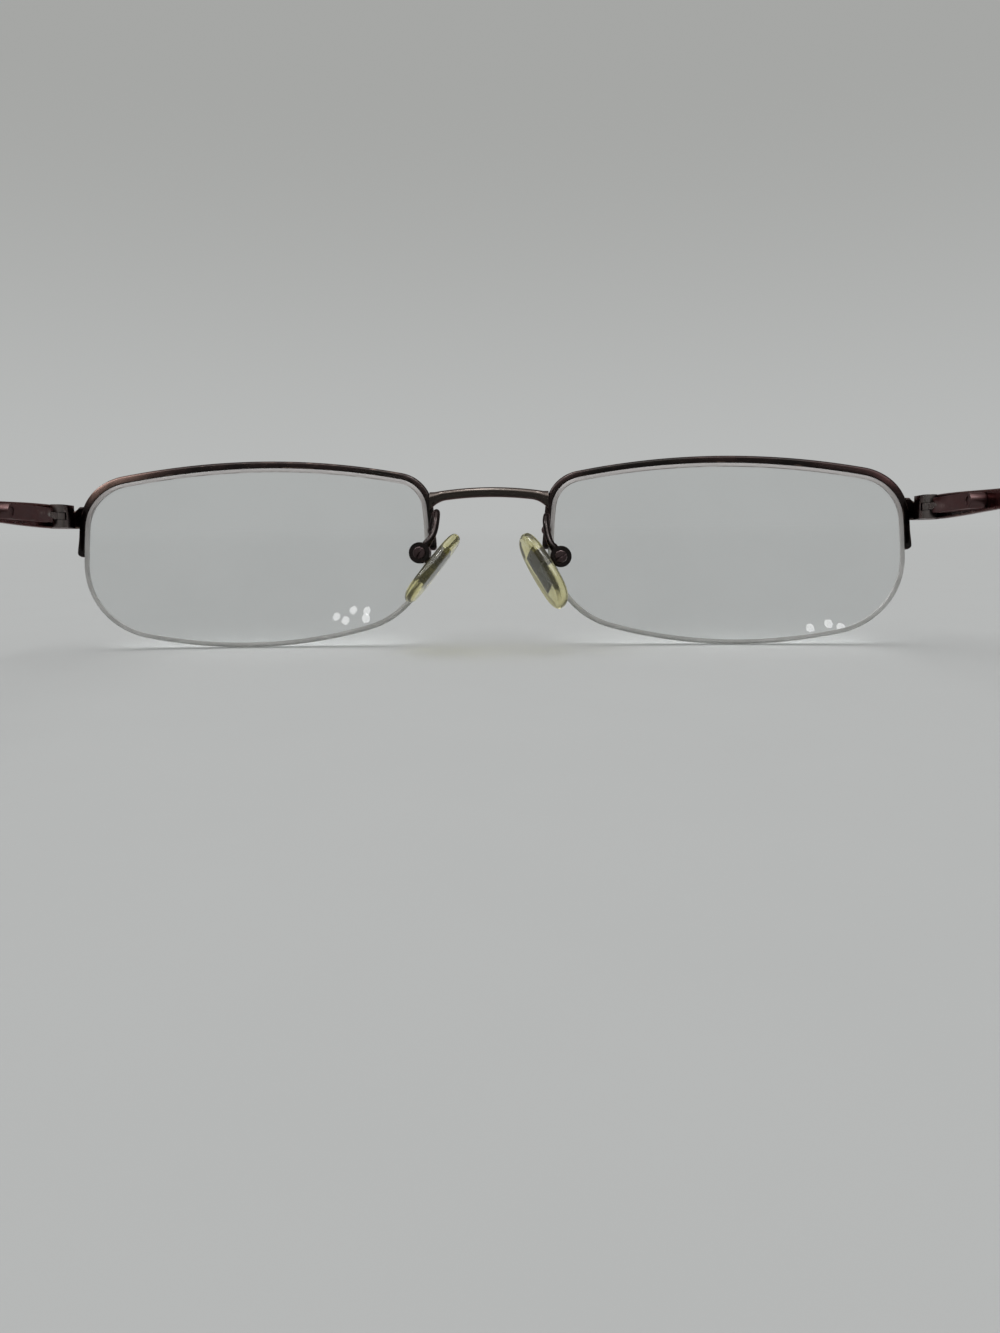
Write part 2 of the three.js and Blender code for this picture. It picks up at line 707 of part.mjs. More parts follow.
function padBoxGeometry(which) {
  const padAxis = padAxisOf(which);
  const cut = padLugThickness + 2 * fitGap + 0.1;
  const barrel = rodY(padBoxRadius, padBoxLength, padAxis, 20);
  const slot = rodY(1.05, cut, padAxis, 20);
  const mouthAt = vec(padAxis.x - 2, padAxis.y, padAxis.z - 2 + 0.2);
  const mouth = block(4 + 2 * 0.5, cut, 4, mouthAt);
  const hole = rodY(padScrewRadius + pinClearance, 6, padAxis, 16);
  return geometryOf(barrel.subtract(slot).subtract(mouth).subtract(hole));
}

function padScrewGeometry(which) {
  const padAxis = padAxisOf(which);
  const back = padAxis.y - padBoxLength / 2;
  const shank = rodY(padScrewRadius, padBoxLength + 0.2, vec(padAxis.x, padAxis.y - 0.1, padAxis.z), 12);
  const head = rodY(0.85, 0.4, vec(padAxis.x, back - fitGap - 0.2, padAxis.z), 16);
  const slot = block(2, 0.3, 0.22, vec(padAxis.x, back - fitGap - 0.4, padAxis.z));
  return geometryOf(shank.add(head).subtract(slot));
}

// Wire that loops up from the back of the rim and down to the pad box
function padArmGeometry(which) {
  const padAxis = padAxisOf(which);
  const reachOut = padLoopReach[which];
  const seat = edgeSample(side.nasal, nasalAngle(padWireLevel));
  const behind = (gap) => atEdge(seat, rimThickness / 2, -rimDepth / 2 - gap);
  const onto = (gap) => padAxis.clone().addScaledVector(vec(-0.6, 0, 0.8), padBoxRadius + gap);
  const loop = (reach, forward, height) => vec(-reach, forward, height).add(padAxis);
  const top = loop(reachOut, padLoopForward, padLoopHeight);
  const rise = behind(0.5).lerp(top, 0.62).add(vec(0, 0, padWire / 2));
  const curve = new THREE.CatmullRomCurve3([
    behind(fitGap),
    behind(0.5),
    rise,
    top,
    loop(reachOut + 0.1, padLoopForward * 0.55, padLoopHeight * 0.85),
    loop(reachOut * 0.9, padLoopForward * 0.2, padLoopHeight * 0.5),
    onto(0.7),
    onto(2 * fitGap),
  ]);
  const path = curve.getSpacedPoints(18);
  return sweep(path, vec(1, 0.3, 0), () => roundSection(padWire, padWire, 8));
}

const spectacles = new THREE.Group();
spectacles.name = 'spectacles';

function add(name, geometry, material) {
  geometry.deleteAttribute('normal');
  geometry.computeVertexNormals();
  const mesh = new THREE.Mesh(geometry, material);
  mesh.name = name;
  spectacles.add(mesh);
}

function pair(name, geometry, material) {
  add(`${name}_left`, mirrored(geometry), material);
  add(`${name}_right`, geometry, material);
}

function bent(name, geometryFor, material) {
  add(`${name}_left`, mirrored(geometryFor('left')), material);
  add(`${name}_right`, geometryFor('right'), material);
}

add('bridge', bridgeGeometry(), metal);
pair('lens', lensGeometry(), glass);
pair('lens_cord', cordGeometry(), nylon);
pair('rim', rimGeometry(), metal);
pair('rim_liner', linerGeometry(), nylon);
pair('endpiece', endpieceGeometry(), metal);
pair('hinge_leaf', leafGeometry(), plate);
pair('hinge_screw', hingeScrewGeometry(), steel);
pair('hinge_slider', sliderGeometry(), plate);
pair('spring_box', springBoxGeometry(), plate);
pair('spring_stop', stopGeometry(), steel);
pair('spring', springGeometry(), steel);
pair('spring_collar', collarGeometry(), steel);
pair('temple', templeGeometry(), metal);
pair('temple_tip', tipGeometry(), acetate);
bent('pad_arm', padArmGeometry, metal);
bent('pad_box', padBoxGeometry, metal);
bent('pad_screw', padScrewGeometry, steel);
bent('nose_pad', nosePadGeometry, silicone);
bent('pad_plate', padPlateGeometry, plate);

// Stand the glasses on the lens cords and the temple tips
function lowest(name, tilt) {
  const p = spectacles.getObjectByName(name).geometry.attributes.position;
  let low = vec(0, 0, Infinity);
  for (let i = 0; i < p.count; i += 1) {
    const q = vec().fromBufferAttribute(p, i).applyAxisAngle(vec(1, 0, 0), tilt);
    if (q.z < low.z) low = q;
  }
  return low;
}

let tilt = 0;
for (let i = 0; i < 12; i += 1) {
  const cord = lowest('lens_cord_right', tilt);
  const tip = lowest('temple_tip_right', tilt);
  tilt -= Math.atan2(cord.z - tip.z, cord.y - tip.y);
}
spectacles.rotation.x = tilt;
spectacles.updateMatrixWorld(true);
const bounds = new THREE.Box3().setFromObject(spectacles, true);
const middle = bounds.getCenter(vec());
spectacles.position.set(-middle.x, -middle.y, -bounds.min.z);

export default spectacles;
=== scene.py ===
import json
import math

import bmesh
import bpy
import numpy as np
from mathutils import Matrix, Vector


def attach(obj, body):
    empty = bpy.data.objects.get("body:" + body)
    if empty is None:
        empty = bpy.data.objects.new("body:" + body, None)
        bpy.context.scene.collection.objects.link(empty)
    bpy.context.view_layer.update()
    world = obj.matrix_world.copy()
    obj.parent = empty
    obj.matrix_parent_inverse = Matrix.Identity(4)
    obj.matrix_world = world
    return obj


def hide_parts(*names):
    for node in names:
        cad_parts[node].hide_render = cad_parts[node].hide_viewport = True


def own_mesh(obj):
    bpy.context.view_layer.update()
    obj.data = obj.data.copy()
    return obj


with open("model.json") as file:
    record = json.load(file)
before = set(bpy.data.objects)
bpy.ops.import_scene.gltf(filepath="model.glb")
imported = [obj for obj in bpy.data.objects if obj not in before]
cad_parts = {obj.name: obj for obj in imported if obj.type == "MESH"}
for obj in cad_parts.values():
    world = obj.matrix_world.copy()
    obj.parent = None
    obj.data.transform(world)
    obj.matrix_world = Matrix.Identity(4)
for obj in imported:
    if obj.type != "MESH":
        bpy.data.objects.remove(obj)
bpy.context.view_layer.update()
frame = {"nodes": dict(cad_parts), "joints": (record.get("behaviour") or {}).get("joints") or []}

# Sizes in millimetres and degrees, the same as the solids
LENS_WIDTH = 51.0
LENS_HEIGHT = 26.6
LENS_GAP = 18.0
TOP_RADIUS = 91.0
TOP_SHIFT = -1.3
BOTTOM_RADIUS = 73.0
BOTTOM_SHIFT = 2.5
NASAL_RADIUS = 61.0
TEMPORAL_RADIUS = 96.0
TOP_NASAL_CORNER = 5.0
TOP_TEMPORAL_CORNER = 7.0
BOTTOM_TEMPORAL_CORNER = 11.0
BOTTOM_NASAL_CORNER = 12.0
LENS_CURVE = 110.0
LENS_THICKNESS = 2.0
GROOVE_WIDTH = 0.68
GROOVE_DEPTH = 0.36
FACE_FORM_ANGLE = 1.5
PANTOSCOPIC_ANGLE = 8.3

RIM_THICKNESS = 1.1
RIM_DEPTH = 1.9
RIM_CHANNEL_DEPTH = 0.42
RIM_NASAL_END = 0.1
RIM_TEMPORAL_END = -0.2
CORD_DIAMETER = 0.6
CORD_INSERT = 1.4
LINER_WIDTH = 0.56
FIT_GAP = 0.05

BRIDGE_HEIGHT = 1.4
BRIDGE_DEPTH = 1.7
BRIDGE_LEVEL = LENS_HEIGHT / 2 - 5.0
BRIDGE_RISE = 0.8
BRIDGE_BOW = 0.8
BRIDGE_FLARE = 0.8

HINGE_LEVEL = LENS_HEIGHT / 2 - 6.95
BLADE_THICKNESS = 1.1
BLADE_SPREAD = 2.55
ENDPIECE_HEIGHT = 2.6
ENDPIECE_DROP = 0.35
ENDPIECE_RUN = 4.4
ENDPIECE_BEND = 1.9
HINGE_SETBACK = 0.9
BUTT_GAP = 0.45
LEAF_LENGTH = 2.2
KNUCKLE_RADIUS = 0.98
KNUCKLE_HEIGHT = 1.1
EYE_RADIUS = 0.95
EYE_HEIGHT = 1.0
PIN_RADIUS = 0.42
PIN_CLEARANCE = 0.08
HINGE_HEAD_RADIUS = 0.66
HINGE_HEAD_HEIGHT = 0.4

CASE_SIZE = 2.0
CASE_LENGTH = 12.0
CASE_SETBACK = 3.7
BORE_SIZE = 1.4
BORE_LENGTH = 9.8
STOP_LENGTH = 1.4
SHANK_RADIUS = 0.32
COLLAR_LENGTH = 1.0
SPRING_LENGTH = 6.4
SPRING_RADIUS = 0.5
SPRING_WIRE = 0.11
SPRING_TURNS = 7
NECK_SIZE = 0.9

BLADE_HEIGHT = 3.4
BLADE_WAIST = 2.3
BLADE_WAIST_RUN = 24.0
CORE_SIZE = 1.25
EAR_RUN = 88.0
EAR_RADIUS = 22.0
EAR_ANGLE = 38.0
TIP_DROP = 32.0
TIP_START = 64.0
TIP_HEIGHT = 4.4
TIP_THICKNESS = 2.5
CORE_SHORT = 9.0

PAD_LENGTH = 11.8
PAD_WIDTH = 7.0
PAD_THICKNESS = 1.7
PAD_SQUARENESS = 2.6
PAD_SETBACK = 1.2
PAD_TILT = 18.0
PAD_PLATE_LENGTH = 6.0
PAD_PLATE_WIDTH = 3.2
PAD_PLATE_THICKNESS = 0.45
PAD_LUG_THICKNESS = 0.7
PAD_LUG_WIDTH = 1.0
PAD_EYE_RADIUS = 0.95
PAD_BOX_SETBACK = 10.0
PAD_BOX_RADIUS = 1.5
PAD_BOX_LENGTH = 2.0
PAD_SCREW_RADIUS = 0.36
PAD_HEAD_RADIUS = 0.85
PAD_HEAD_HEIGHT = 0.4
PAD_WIRE = 0.95
PAD_WIRE_LEVEL = 3.3
PAD_LOOP_HEIGHT = 5.8
PAD_LOOP_FORWARD = 2.9
PAD_BOX_INSET = {"right": 1.35, "left": 0.55}
PAD_BOX_LEVEL = {"right": -0.1, "left": 0.6}
PAD_LOOP_REACH = {"right": 1.95, "left": 2.15}
PAD_REACH = {"right": 3.35, "left": 2.75}
PAD_SLIDE = {"right": 0.75, "left": 0.6}
PAD_LEAN = {"right": 31.0, "left": 38.0}
PAD_SPLAY = {"right": 21.0, "left": 2.0}

# Finer shape that only the looks need, in millimetres or as shares of a size
RIM_CORNER = 0.36
RIM_INNER_CORNER = 0.12
RIM_CHANNEL_CORNER = 0.05
RIM_NASAL_SHARE = 0.88
RIM_SIDE_SHARE = 0.84
RIM_TOP_FADE = (0.15, 0.75)
RIM_SIDE_FADE = (0.1, 0.75)
RIM_BULB_SHARE = 0.94
RIM_BULB_RUN = 2.4
RIM_END_ROUND = 0.5
LINER_INSET = 0.3
LINER_CORNER = 0.2
SOLDER_REACH = 0.55
CUP_SOLDER = 0.3
BRIDGE_SOLDER = 0.75
BRIDGE_FILLET = 2.5
BRIDGE_FOOT = 1.9
BRIDGE_FOOT_STEEPNESS = 0.97
BRIDGE_WAIST = 0.8
BRIDGE_WAIST_RUN = 1.2
BRIDGE_SQUARENESS = 2.7

EDGE_SPACING = 0.35
LENS_POLE = 0.05
LENS_RINGS = 18
LENS_CREASE = 25.0
LENS_BEVEL = 0.12
GROOVE_FLOOR = ((0.0, 1.0), (0.7, 0.85), (1.0, 0.5))
PIN_BEVEL_WIDTH = 0.5
LOWER_BEVEL_CUT = 0.15
PIN_BEVEL_DEPTH = 0.2
# Width and lowest height of the painted shade line on the lens's back
SHADE_LINE_WIDTH = 0.12
SHADE_LINE_FLOOR = 12.0

ENDPIECE_FLARE = 0.6
ENDPIECE_FLARE_RUN = 0.9
ENDPIECE_BUTT = (0.8, 0.9)
TEMPLE_BUTT = (0.9, 0.82)
BAR_CORNER = 0.3
CORE_CORNER = 0.4
BLADE_END_EXTRA = 0.35
TEMPLE_CREASE = 50.0
TIP_CAP = 2.2
TIP_LIP = ((0.0, 0.86), (0.06, 0.93), (0.16, 0.98), (0.3, 1.0))
TIP_NECK = (TIP_START - 3, TIP_START + 8)
TIP_FULL = 12.0
TIP_MOUTH_HEIGHT = 1.9
TIP_MOUTH_THICKNESS = 1.75
TIP_NECK_HEIGHT = 2.6
TIP_SQUARENESS = 2.25

KNUCKLE_ROUNDING = 0.07
# How far the knuckles carry the paler plating of the painted highlight
BARREL_HIGHLIGHT_REACH = 0.5
EYE_RELIEF = 0.15
EYE_ROUNDING = 0.06
ROD_PAST_COLLAR = 0.5
ROD_IN_NECK = 0.2
SPRING_PLAY = 0.1
CASE_ROUNDING = 0.09
FORK_DEPTH = 1.5
FORK_OPEN = 0.62
FORK_AHEAD = 0.4
DIMPLE_RADIUS = 0.55
DIMPLE_DEPTH = 0.15

THREAD_DEPTH = 0.05
THREAD_PITCH = 0.25
DOME_POWER = 2.4
SLOT_LIFT = 0.35
SHANK_HANG = 0.49
HINGE_SLOT_ANGLE = {"right": 20.0, "left": -35.0}
PAD_SLOT_ANGLE = {"right": 35.0, "left": 65.0}

PAD_CREASE = 60.0
PAD_EGG = 0.12
PAD_SKIN_FLAT = 0.72
PAD_EDGE_ROUND = 0.42
PAD_RIB = (0.95, 2.0, 5.4)
PAD_BOSS = (1.46, 3.2, 2.0)
PAD_BOSS_SHIFT = (-0.06, -0.55, 0.5)
PAD_PLATE_SHIFT = (-0.2, -0.35, 0.0)
PAD_CORE_ROUNDING = 0.1
PAD_CUP_ROUNDING = 0.16
PAD_SLOT_RADIUS = 1.05
PAD_LUG_PLAY = 0.1
PAD_FOOT_SWELL = 0.55
PAD_FOOT_RUN = (0.2, 1.3)
PAD_CUP_SWELL = 0.25
PAD_CUP_RUN = (0.3, 1.1)

# Camera fitted to the photograph, as focal length and image size in pixels
IMAGE_WIDTH, IMAGE_HEIGHT = 1000, 1333
FOCAL_PIXELS = 1003.0
EYE_POINT = (6.448, -152.517, 6.002)
CAMERA_YAW = -1.948
CAMERA_PITCH = 8.5
CAMERA_ROLL = -0.62

MM = 0.001
TURN = 2 * math.pi
SIDES = {"right": 1, "left": -1}
rad = math.radians


# Small helpers on arrays of points
def lerp(a, b, t):
    return a + (b - a) * t


def smoothstep(x, low, high):
    t = np.clip((np.asarray(x, float) - low) / (high - low), 0, 1)
    return t * t * (3 - 2 * t)


def unit(v):
    v = np.asarray(v, float)
    return v / np.linalg.norm(v, axis=-1, keepdims=True)


def rounded_outline(corners, steps=5):
    """Closed outline through corners (x, y, radius), each turned into an arc."""
    points = []
    count = len(corners)
    for i, (x, y, radius) in enumerate(corners):
        here = np.array([x, y])
        before = unit(np.array(corners[i - 1][:2]) - here)
        after = unit(np.array(corners[(i + 1) % count][:2]) - here)
        half = math.acos(np.clip(before @ after, -1, 1)) / 2
        middle = here + unit(before + after) * radius / math.sin(half)
        first = here + before * radius / math.tan(half) - middle
        last = here + after * radius / math.tan(half) - middle
        for k in range(steps + 1):
            points.append(middle + unit(lerp(first, last, k / steps)) * radius)
    return np.array(points)


def bar_outline(width, height, radius, steps=5):
    w, h = width / 2, height / 2
    r = min(radius, 0.98 * w, 0.98 * h)
    return rounded_outline([(w, -h, r), (w, h, r), (-w, h, r), (-w, -h, r)], steps)


def oval_outline(width, height, squareness=2.0, count=36):
    t = (np.arange(count) + 0.5) * TURN / count
    c, s = np.cos(t), np.sin(t)
    power = 2 / squareness
    x = np.sign(c) * np.abs(c) ** power * width / 2
    y = np.sign(s) * np.abs(s) ** power * height / 2
    return np.stack([x, y], 1)


def run_lengths(points):
    """Length along a line of points, at each of them."""
    return np.concatenate([[0], np.cumsum(np.linalg.norm(np.diff(points, axis=0), axis=1))])


def smooth_path(points, count):
    """Evenly spaced points on a centripetal spline through the given ones."""
    p = np.asarray(points, float)
    p = np.vstack([2 * p[0] - p[1], p, 2 * p[-1] - p[-2]])
    dense = []
    for i in range(1, len(p) - 2):
        a, b, c, d = p[i - 1 : i + 3]
        d0, d1, d2 = (math.sqrt(np.linalg.norm(q - r)) for q, r in ((b, a), (c, b), (d, c)))
        t1 = ((b - a) / d0 - (c - a) / (d0 + d1) + (c - b) / d1) * d1
        t2 = ((c - b) / d1 - (d - b) / (d1 + d2) + (d - c) / d2) * d1
        t = np.linspace(0, 1, 40)[:, None]
        dense.append(b + t1 * t + (3 * (c - b) - 2 * t1 - t2) * t**2 + (2 * (b - c) + t1 + t2) * t**3)
    dense = np.vstack(dense)
    run = run_lengths(dense)
    even = np.linspace(0, run[-1], count)
    return np.stack([np.interp(even, run, dense[:, k]) for k in range(3)], 1)


# Lens edge as arcs met in order of the edge's outward angle
def corner_arc(a, b, radius, toward):
    (au, av, ar), (bu, bv, br) = a, b
    gap = math.hypot(bu - au, bv - av)
    eu, ev = (bu - au) / gap, (bv - av) / gap
    along = ((ar - radius) ** 2 - (br - radius) ** 2 + gap**2) / (2 * gap)
    across = math.sqrt((ar - radius) ** 2 - along**2)
    picks = [(au + along * eu - s * across * ev, av + along * ev + s * across * eu) for s in (1, -1)]
    u, v = max(picks, key=lambda q: q[0] * toward[0] + q[1] * toward[1])
    return u, v, radius


def angle_to(a, b):
    return math.atan2(b[1] - a[1], b[0] - a[0])


nasal_side = (NASAL_RADIUS - LENS_WIDTH / 2, 0.0, NASAL_RADIUS)
top_side = (TOP_SHIFT, LENS_HEIGHT / 2 - TOP_RADIUS, TOP_RADIUS)
temporal_side = (LENS_WIDTH / 2 - TEMPORAL_RADIUS, 0.0, TEMPORAL_RADIUS)
bottom_side = (BOTTOM_SHIFT, BOTTOM_RADIUS - LENS_HEIGHT / 2, BOTTOM_RADIUS)
top_nasal = corner_arc(nasal_side, top_side, TOP_NASAL_CORNER, (-1, 1))
top_temporal = corner_arc(top_side, temporal_side, TOP_TEMPORAL_CORNER, (1, 1))
bottom_temporal = corner_arc(temporal_side, bottom_side, BOTTOM_TEMPORAL_CORNER, (1, -1))
bottom_nasal = corner_arc(bottom_side, nasal_side, BOTTOM_NASAL_CORNER, (-1, -1))
nasal_start = angle_to(nasal_side, bottom_nasal) % TURN - TURN
edge_arcs = [
    (nasal_side, nasal_start + TURN),
    (top_nasal, angle_to(nasal_side, top_nasal)),
    (top_side, angle_to(top_side, top_nasal)),
    (top_temporal, angle_to(top_side, top_temporal)),
    (temporal_side, angle_to(temporal_side, top_temporal)),
    (bottom_temporal, angle_to(temporal_side, bottom_temporal)),
    (bottom_side, angle_to(bottom_side, bottom_temporal)),
    (bottom_nasal, angle_to(bottom_side, bottom_nasal)),
    (nasal_side, nasal_start),
]
edge_arc_ends = [start for _, start in edge_arcs[1:]] + [angle_to(nasal_side, top_nasal) - TURN]


def lens_edge(start, end, spacing=EDGE_SPACING):
    """Edge samples (u, v, outward u, outward v) from one outward angle down to another."""
    samples = []
    for ((u, v, radius), low_start), low_end in zip(edge_arcs, edge_arc_ends):
        a, b = min(low_start, start), max(low_end, end)
        if a - b < 1e-6:
            continue
        pieces = max(2, math.ceil((a - b) * radius / spacing))
        angles = np.linspace(a, b, pieces + 1)
        if b - end > 1e-6:
            angles = angles[:-1]
        c, s = np.cos(angles), np.sin(angles)
        samples.append(np.stack([u + radius * c, v + radius * s, c, s], 1))
    return np.vstack(samples)


def nasal_angle(v):
    return math.pi - math.asin(v / NASAL_RADIUS)


def temporal_angle(v):
    return math.asin(v / TEMPORAL_RADIUS)


def edge_point(side, angle):
    u, v, radius = side
    c, s = math.cos(angle), math.sin(angle)
    return np.array([[u + radius * c, v + radius * s, c, s]])


def sag(u, v):
    return np.sqrt(LENS_CURVE**2 - u**2 - v**2) - LENS_CURVE


def lens_place(u, v, w):
    """Worn place of a right lens point: u towards the temple, v up, w forward."""
    a, b = -rad(FACE_FORM_ANGLE), -rad(PANTOSCOPIC_ANGLE)
    x = u * math.cos(a) - w * math.sin(a) + (LENS_WIDTH + LENS_GAP) / 2
    y = u * math.sin(a) + w * math.cos(a)
    return np.stack([x, y * math.cos(b) - v * math.sin(b), y * math.sin(b) + v * math.cos(b)], -1)


def at_edge(edge, n, w):
    u, v, nu, nv = edge.T
    return lens_place(u + n * nu, v + n * nv, sag(u, v) - LENS_THICKNESS / 2 + w)


# Hinge and nose pad datums on the right side, worn
rim_side = at_edge(edge_point(temporal_side, temporal_angle(HINGE_LEVEL)), FIT_GAP + RIM_THICKNESS, 0)[0]
blade_outer = rim_side[0] + BLADE_SPREAD + BLADE_THICKNESS / 2
blade_middle = blade_outer - BLADE_THICKNESS / 2
blade_inner = blade_outer - BLADE_THICKNESS
butt_y = rim_side[1] - ENDPIECE_RUN
hinge = np.array([blade_inner - KNUCKLE_RADIUS - 1.5 * FIT_GAP, butt_y - HINGE_SETBACK, HINGE_LEVEL])
case_front = hinge[1] - CASE_SETBACK
leaf_tall = EYE_HEIGHT / 2 + FIT_GAP + KNUCKLE_HEIGHT
pad_axes = {
    which: np.array([LENS_GAP / 2 + PAD_BOX_INSET[which], -PAD_BOX_SETBACK, PAD_BOX_LEVEL[which]])
    for which in SIDES
}

# Worn millimetres to row metres, from where the frame puts the right hinge
fold_joint = next(j for j in frame["joints"] if j["name"] == "temple_fold_right")
up_y, up_z = -fold_joint["axis"][1], -fold_joint["axis"][2]
rest_turn = Matrix.Rotation(math.atan2(-up_y, up_z), 4, "X")
rest_shift = Vector(fold_joint["pos_m"]) - rest_turn @ Vector(hinge) * MM
worn_to_row = Matrix.Translation(rest_shift) @ rest_turn @ Matrix.Scale(MM, 4)


def row(points, side=1):
    p = np.asarray(points, float) * (side, 1, 1)
    m = np.array(worn_to_row)
    return p @ m[:3, :3].T + m[:3, 3]


# Nodes
def plug(tree, value, socket):
    """Links another node's socket to this one, or sets this one to a plain value."""
    if isinstance(value, bpy.types.NodeSocket):
        tree.links.new(value, socket)
    else:
        socket.default_value = value


def put(tree, kind, sockets=None, **settings):
    """Adds a node with its settings, and links or sets its sockets."""
    node = tree.nodes.new(kind)
    for key, value in settings.items():
        setattr(node, key, value)
    for key, value in (sockets or {}).items():
        plug(tree, value, node.inputs[key])
    return node


def calculate(tree, operation, *values):
    return put(tree, "ShaderNodeMath", dict(enumerate(values)), operation=operation).outputs[0]


def times(tree, a, b):
    return calculate(tree, "MULTIPLY", a, b)


def joined(tree, **parts):
    return put(tree, "ShaderNodeCombineXYZ", parts).outputs[0]


def split(tree, place):
    return put(tree, "ShaderNodeSeparateXYZ", {"Vector": place}).outputs


def start_tree(name, inputs):
    tree = bpy.data.node_groups.new(name, "GeometryNodeTree")
    for label, kind in inputs.items():
        tree.interface.new_socket(label, in_out="INPUT", socket_type="NodeSocket" + kind)
    tree.interface.new_socket("Geometry", in_out="OUTPUT", socket_type="NodeSocketGeometry")
    return tree, tree.nodes.new("NodeGroupInput").outputs


def end_tree(tree, geometry, finish):
    smooth = put(tree, "GeometryNodeSetShadeSmooth", {"Geometry": geometry})
    real = put(tree, "GeometryNodeRealizeInstances", {"Geometry": smooth.outputs[0]})
    painted = put(tree, "GeometryNodeSetMaterial", {"Geometry": real.outputs[0], "Material": finish})
    put(tree, "NodeGroupOutput", {"Geometry": painted.outputs[0]})
    return tree


def end_skin(tree, curve, ring, finish, **more):
    """Ends a tree with the closed skin of a ring carried along a curve."""
    sockets = {"Curve": curve, "Profile Curve": ring, "Fill Caps": True, **more}
    return end_tree(tree, put(tree, "GeometryNodeCurveToMesh", sockets).outputs[0], finish)


def curve_of(tree, mesh):
    return put(tree, "GeometryNodeMeshToCurve", {"Mesh": mesh}).outputs[0]


def stored(tree, name, kind="FLOAT"):
    return put(tree, "GeometryNodeInputNamedAttribute", {"Name": name}, data_type=kind).outputs["Attribute"]


def circle(tree, facets, radius):
    sockets = {"Resolution": facets, "Radius": radius}
    return put(tree, "GeometryNodeCurvePrimitiveCircle", sockets, mode="RADIUS").outputs["Curve"]


def grown(tree, base, values):
    """Plain mesh that a node tree makes from a base object."""
    maker = base.modifiers.new(tree.name, "NODES")
    maker.node_group = tree
    for item in tree.interface.items_tree:
        if item.in_out == "INPUT" and item.name in values:
            maker[item.identifier] = values[item.name]
    depsgraph = bpy.context.evaluated_depsgraph_get()
    mesh = bpy.data.meshes.new_from_object(base.evaluated_get(depsgraph))
    base.modifiers.remove(maker)
    bpy.data.objects.remove(base)
    return mesh


def section_sweep_tree():
    """Sweeps a drawn section along a path, turned to the path's outward attribute."""
    sizes = {"Thickness": "Float", "Depth": "Float"}
    tree, given = start_tree(
        "section_on_path", {"Path": "Geometry", "Section": "Object", **sizes, "Finish": "Material"}
    )
    line = curve_of(tree, given["Path"])
    outward = stored(tree, "outward", "FLOAT_VECTOR")
    turned = put(tree, "GeometryNodeSetCurveNormal", {"Curve": line, "Normal": outward}, mode="FREE")
    drawn = put(tree, "GeometryNodeObjectInfo", {"Object": given["Section"]})
    loop = curve_of(tree, drawn.outputs["Geometry"])
    size = joined(tree, X=given["Thickness"], Y=given["Depth"], Z=1.0)
    sized = put(tree, "GeometryNodeTransform", {"Geometry": loop, "Scale": size})
    swell = stored(tree, "swell")
    return end_skin(tree, turned.outputs[0], sized.outputs[0], given["Finish"], Scale=swell)


def round_wire_tree():
    """Draws a round wire or strand along a path."""
    tree, given = start_tree(
        "round_wire", {"Path": "Geometry", "Diameter": "Float", "Facets": "Int", "Finish": "Material"}
    )
    ring = circle(tree, given["Facets"], times(tree, given["Diameter"], 0.5))
    line, swell = curve_of(tree, given["Path"]), stored(tree, "swell")
    return end_skin(tree, line, ring, given["Finish"], Scale=swell)


def coil_spring_tree():
    """Winds a compression spring upwards from the origin."""
    sizes = dict.fromkeys(("Turns", "Coil Radius", "Wire Radius", "Length"), "Float")
    tree, given = start_tree("coil_spring", {"Base": "Geometry", **sizes, "Finish": "Material"})
    winding = {
        "Resolution": 40,
        "Rotations": given["Turns"],
        "Start Radius": given["Coil Radius"],
        "End Radius": given["Coil Radius"],
        "Height": given["Length"],
    }
    coil = put(tree, "GeometryNodeCurveSpiral", winding).outputs[0]
    return end_skin(tree, coil, circle(tree, 12, given["Wire Radius"]), given["Finish"])


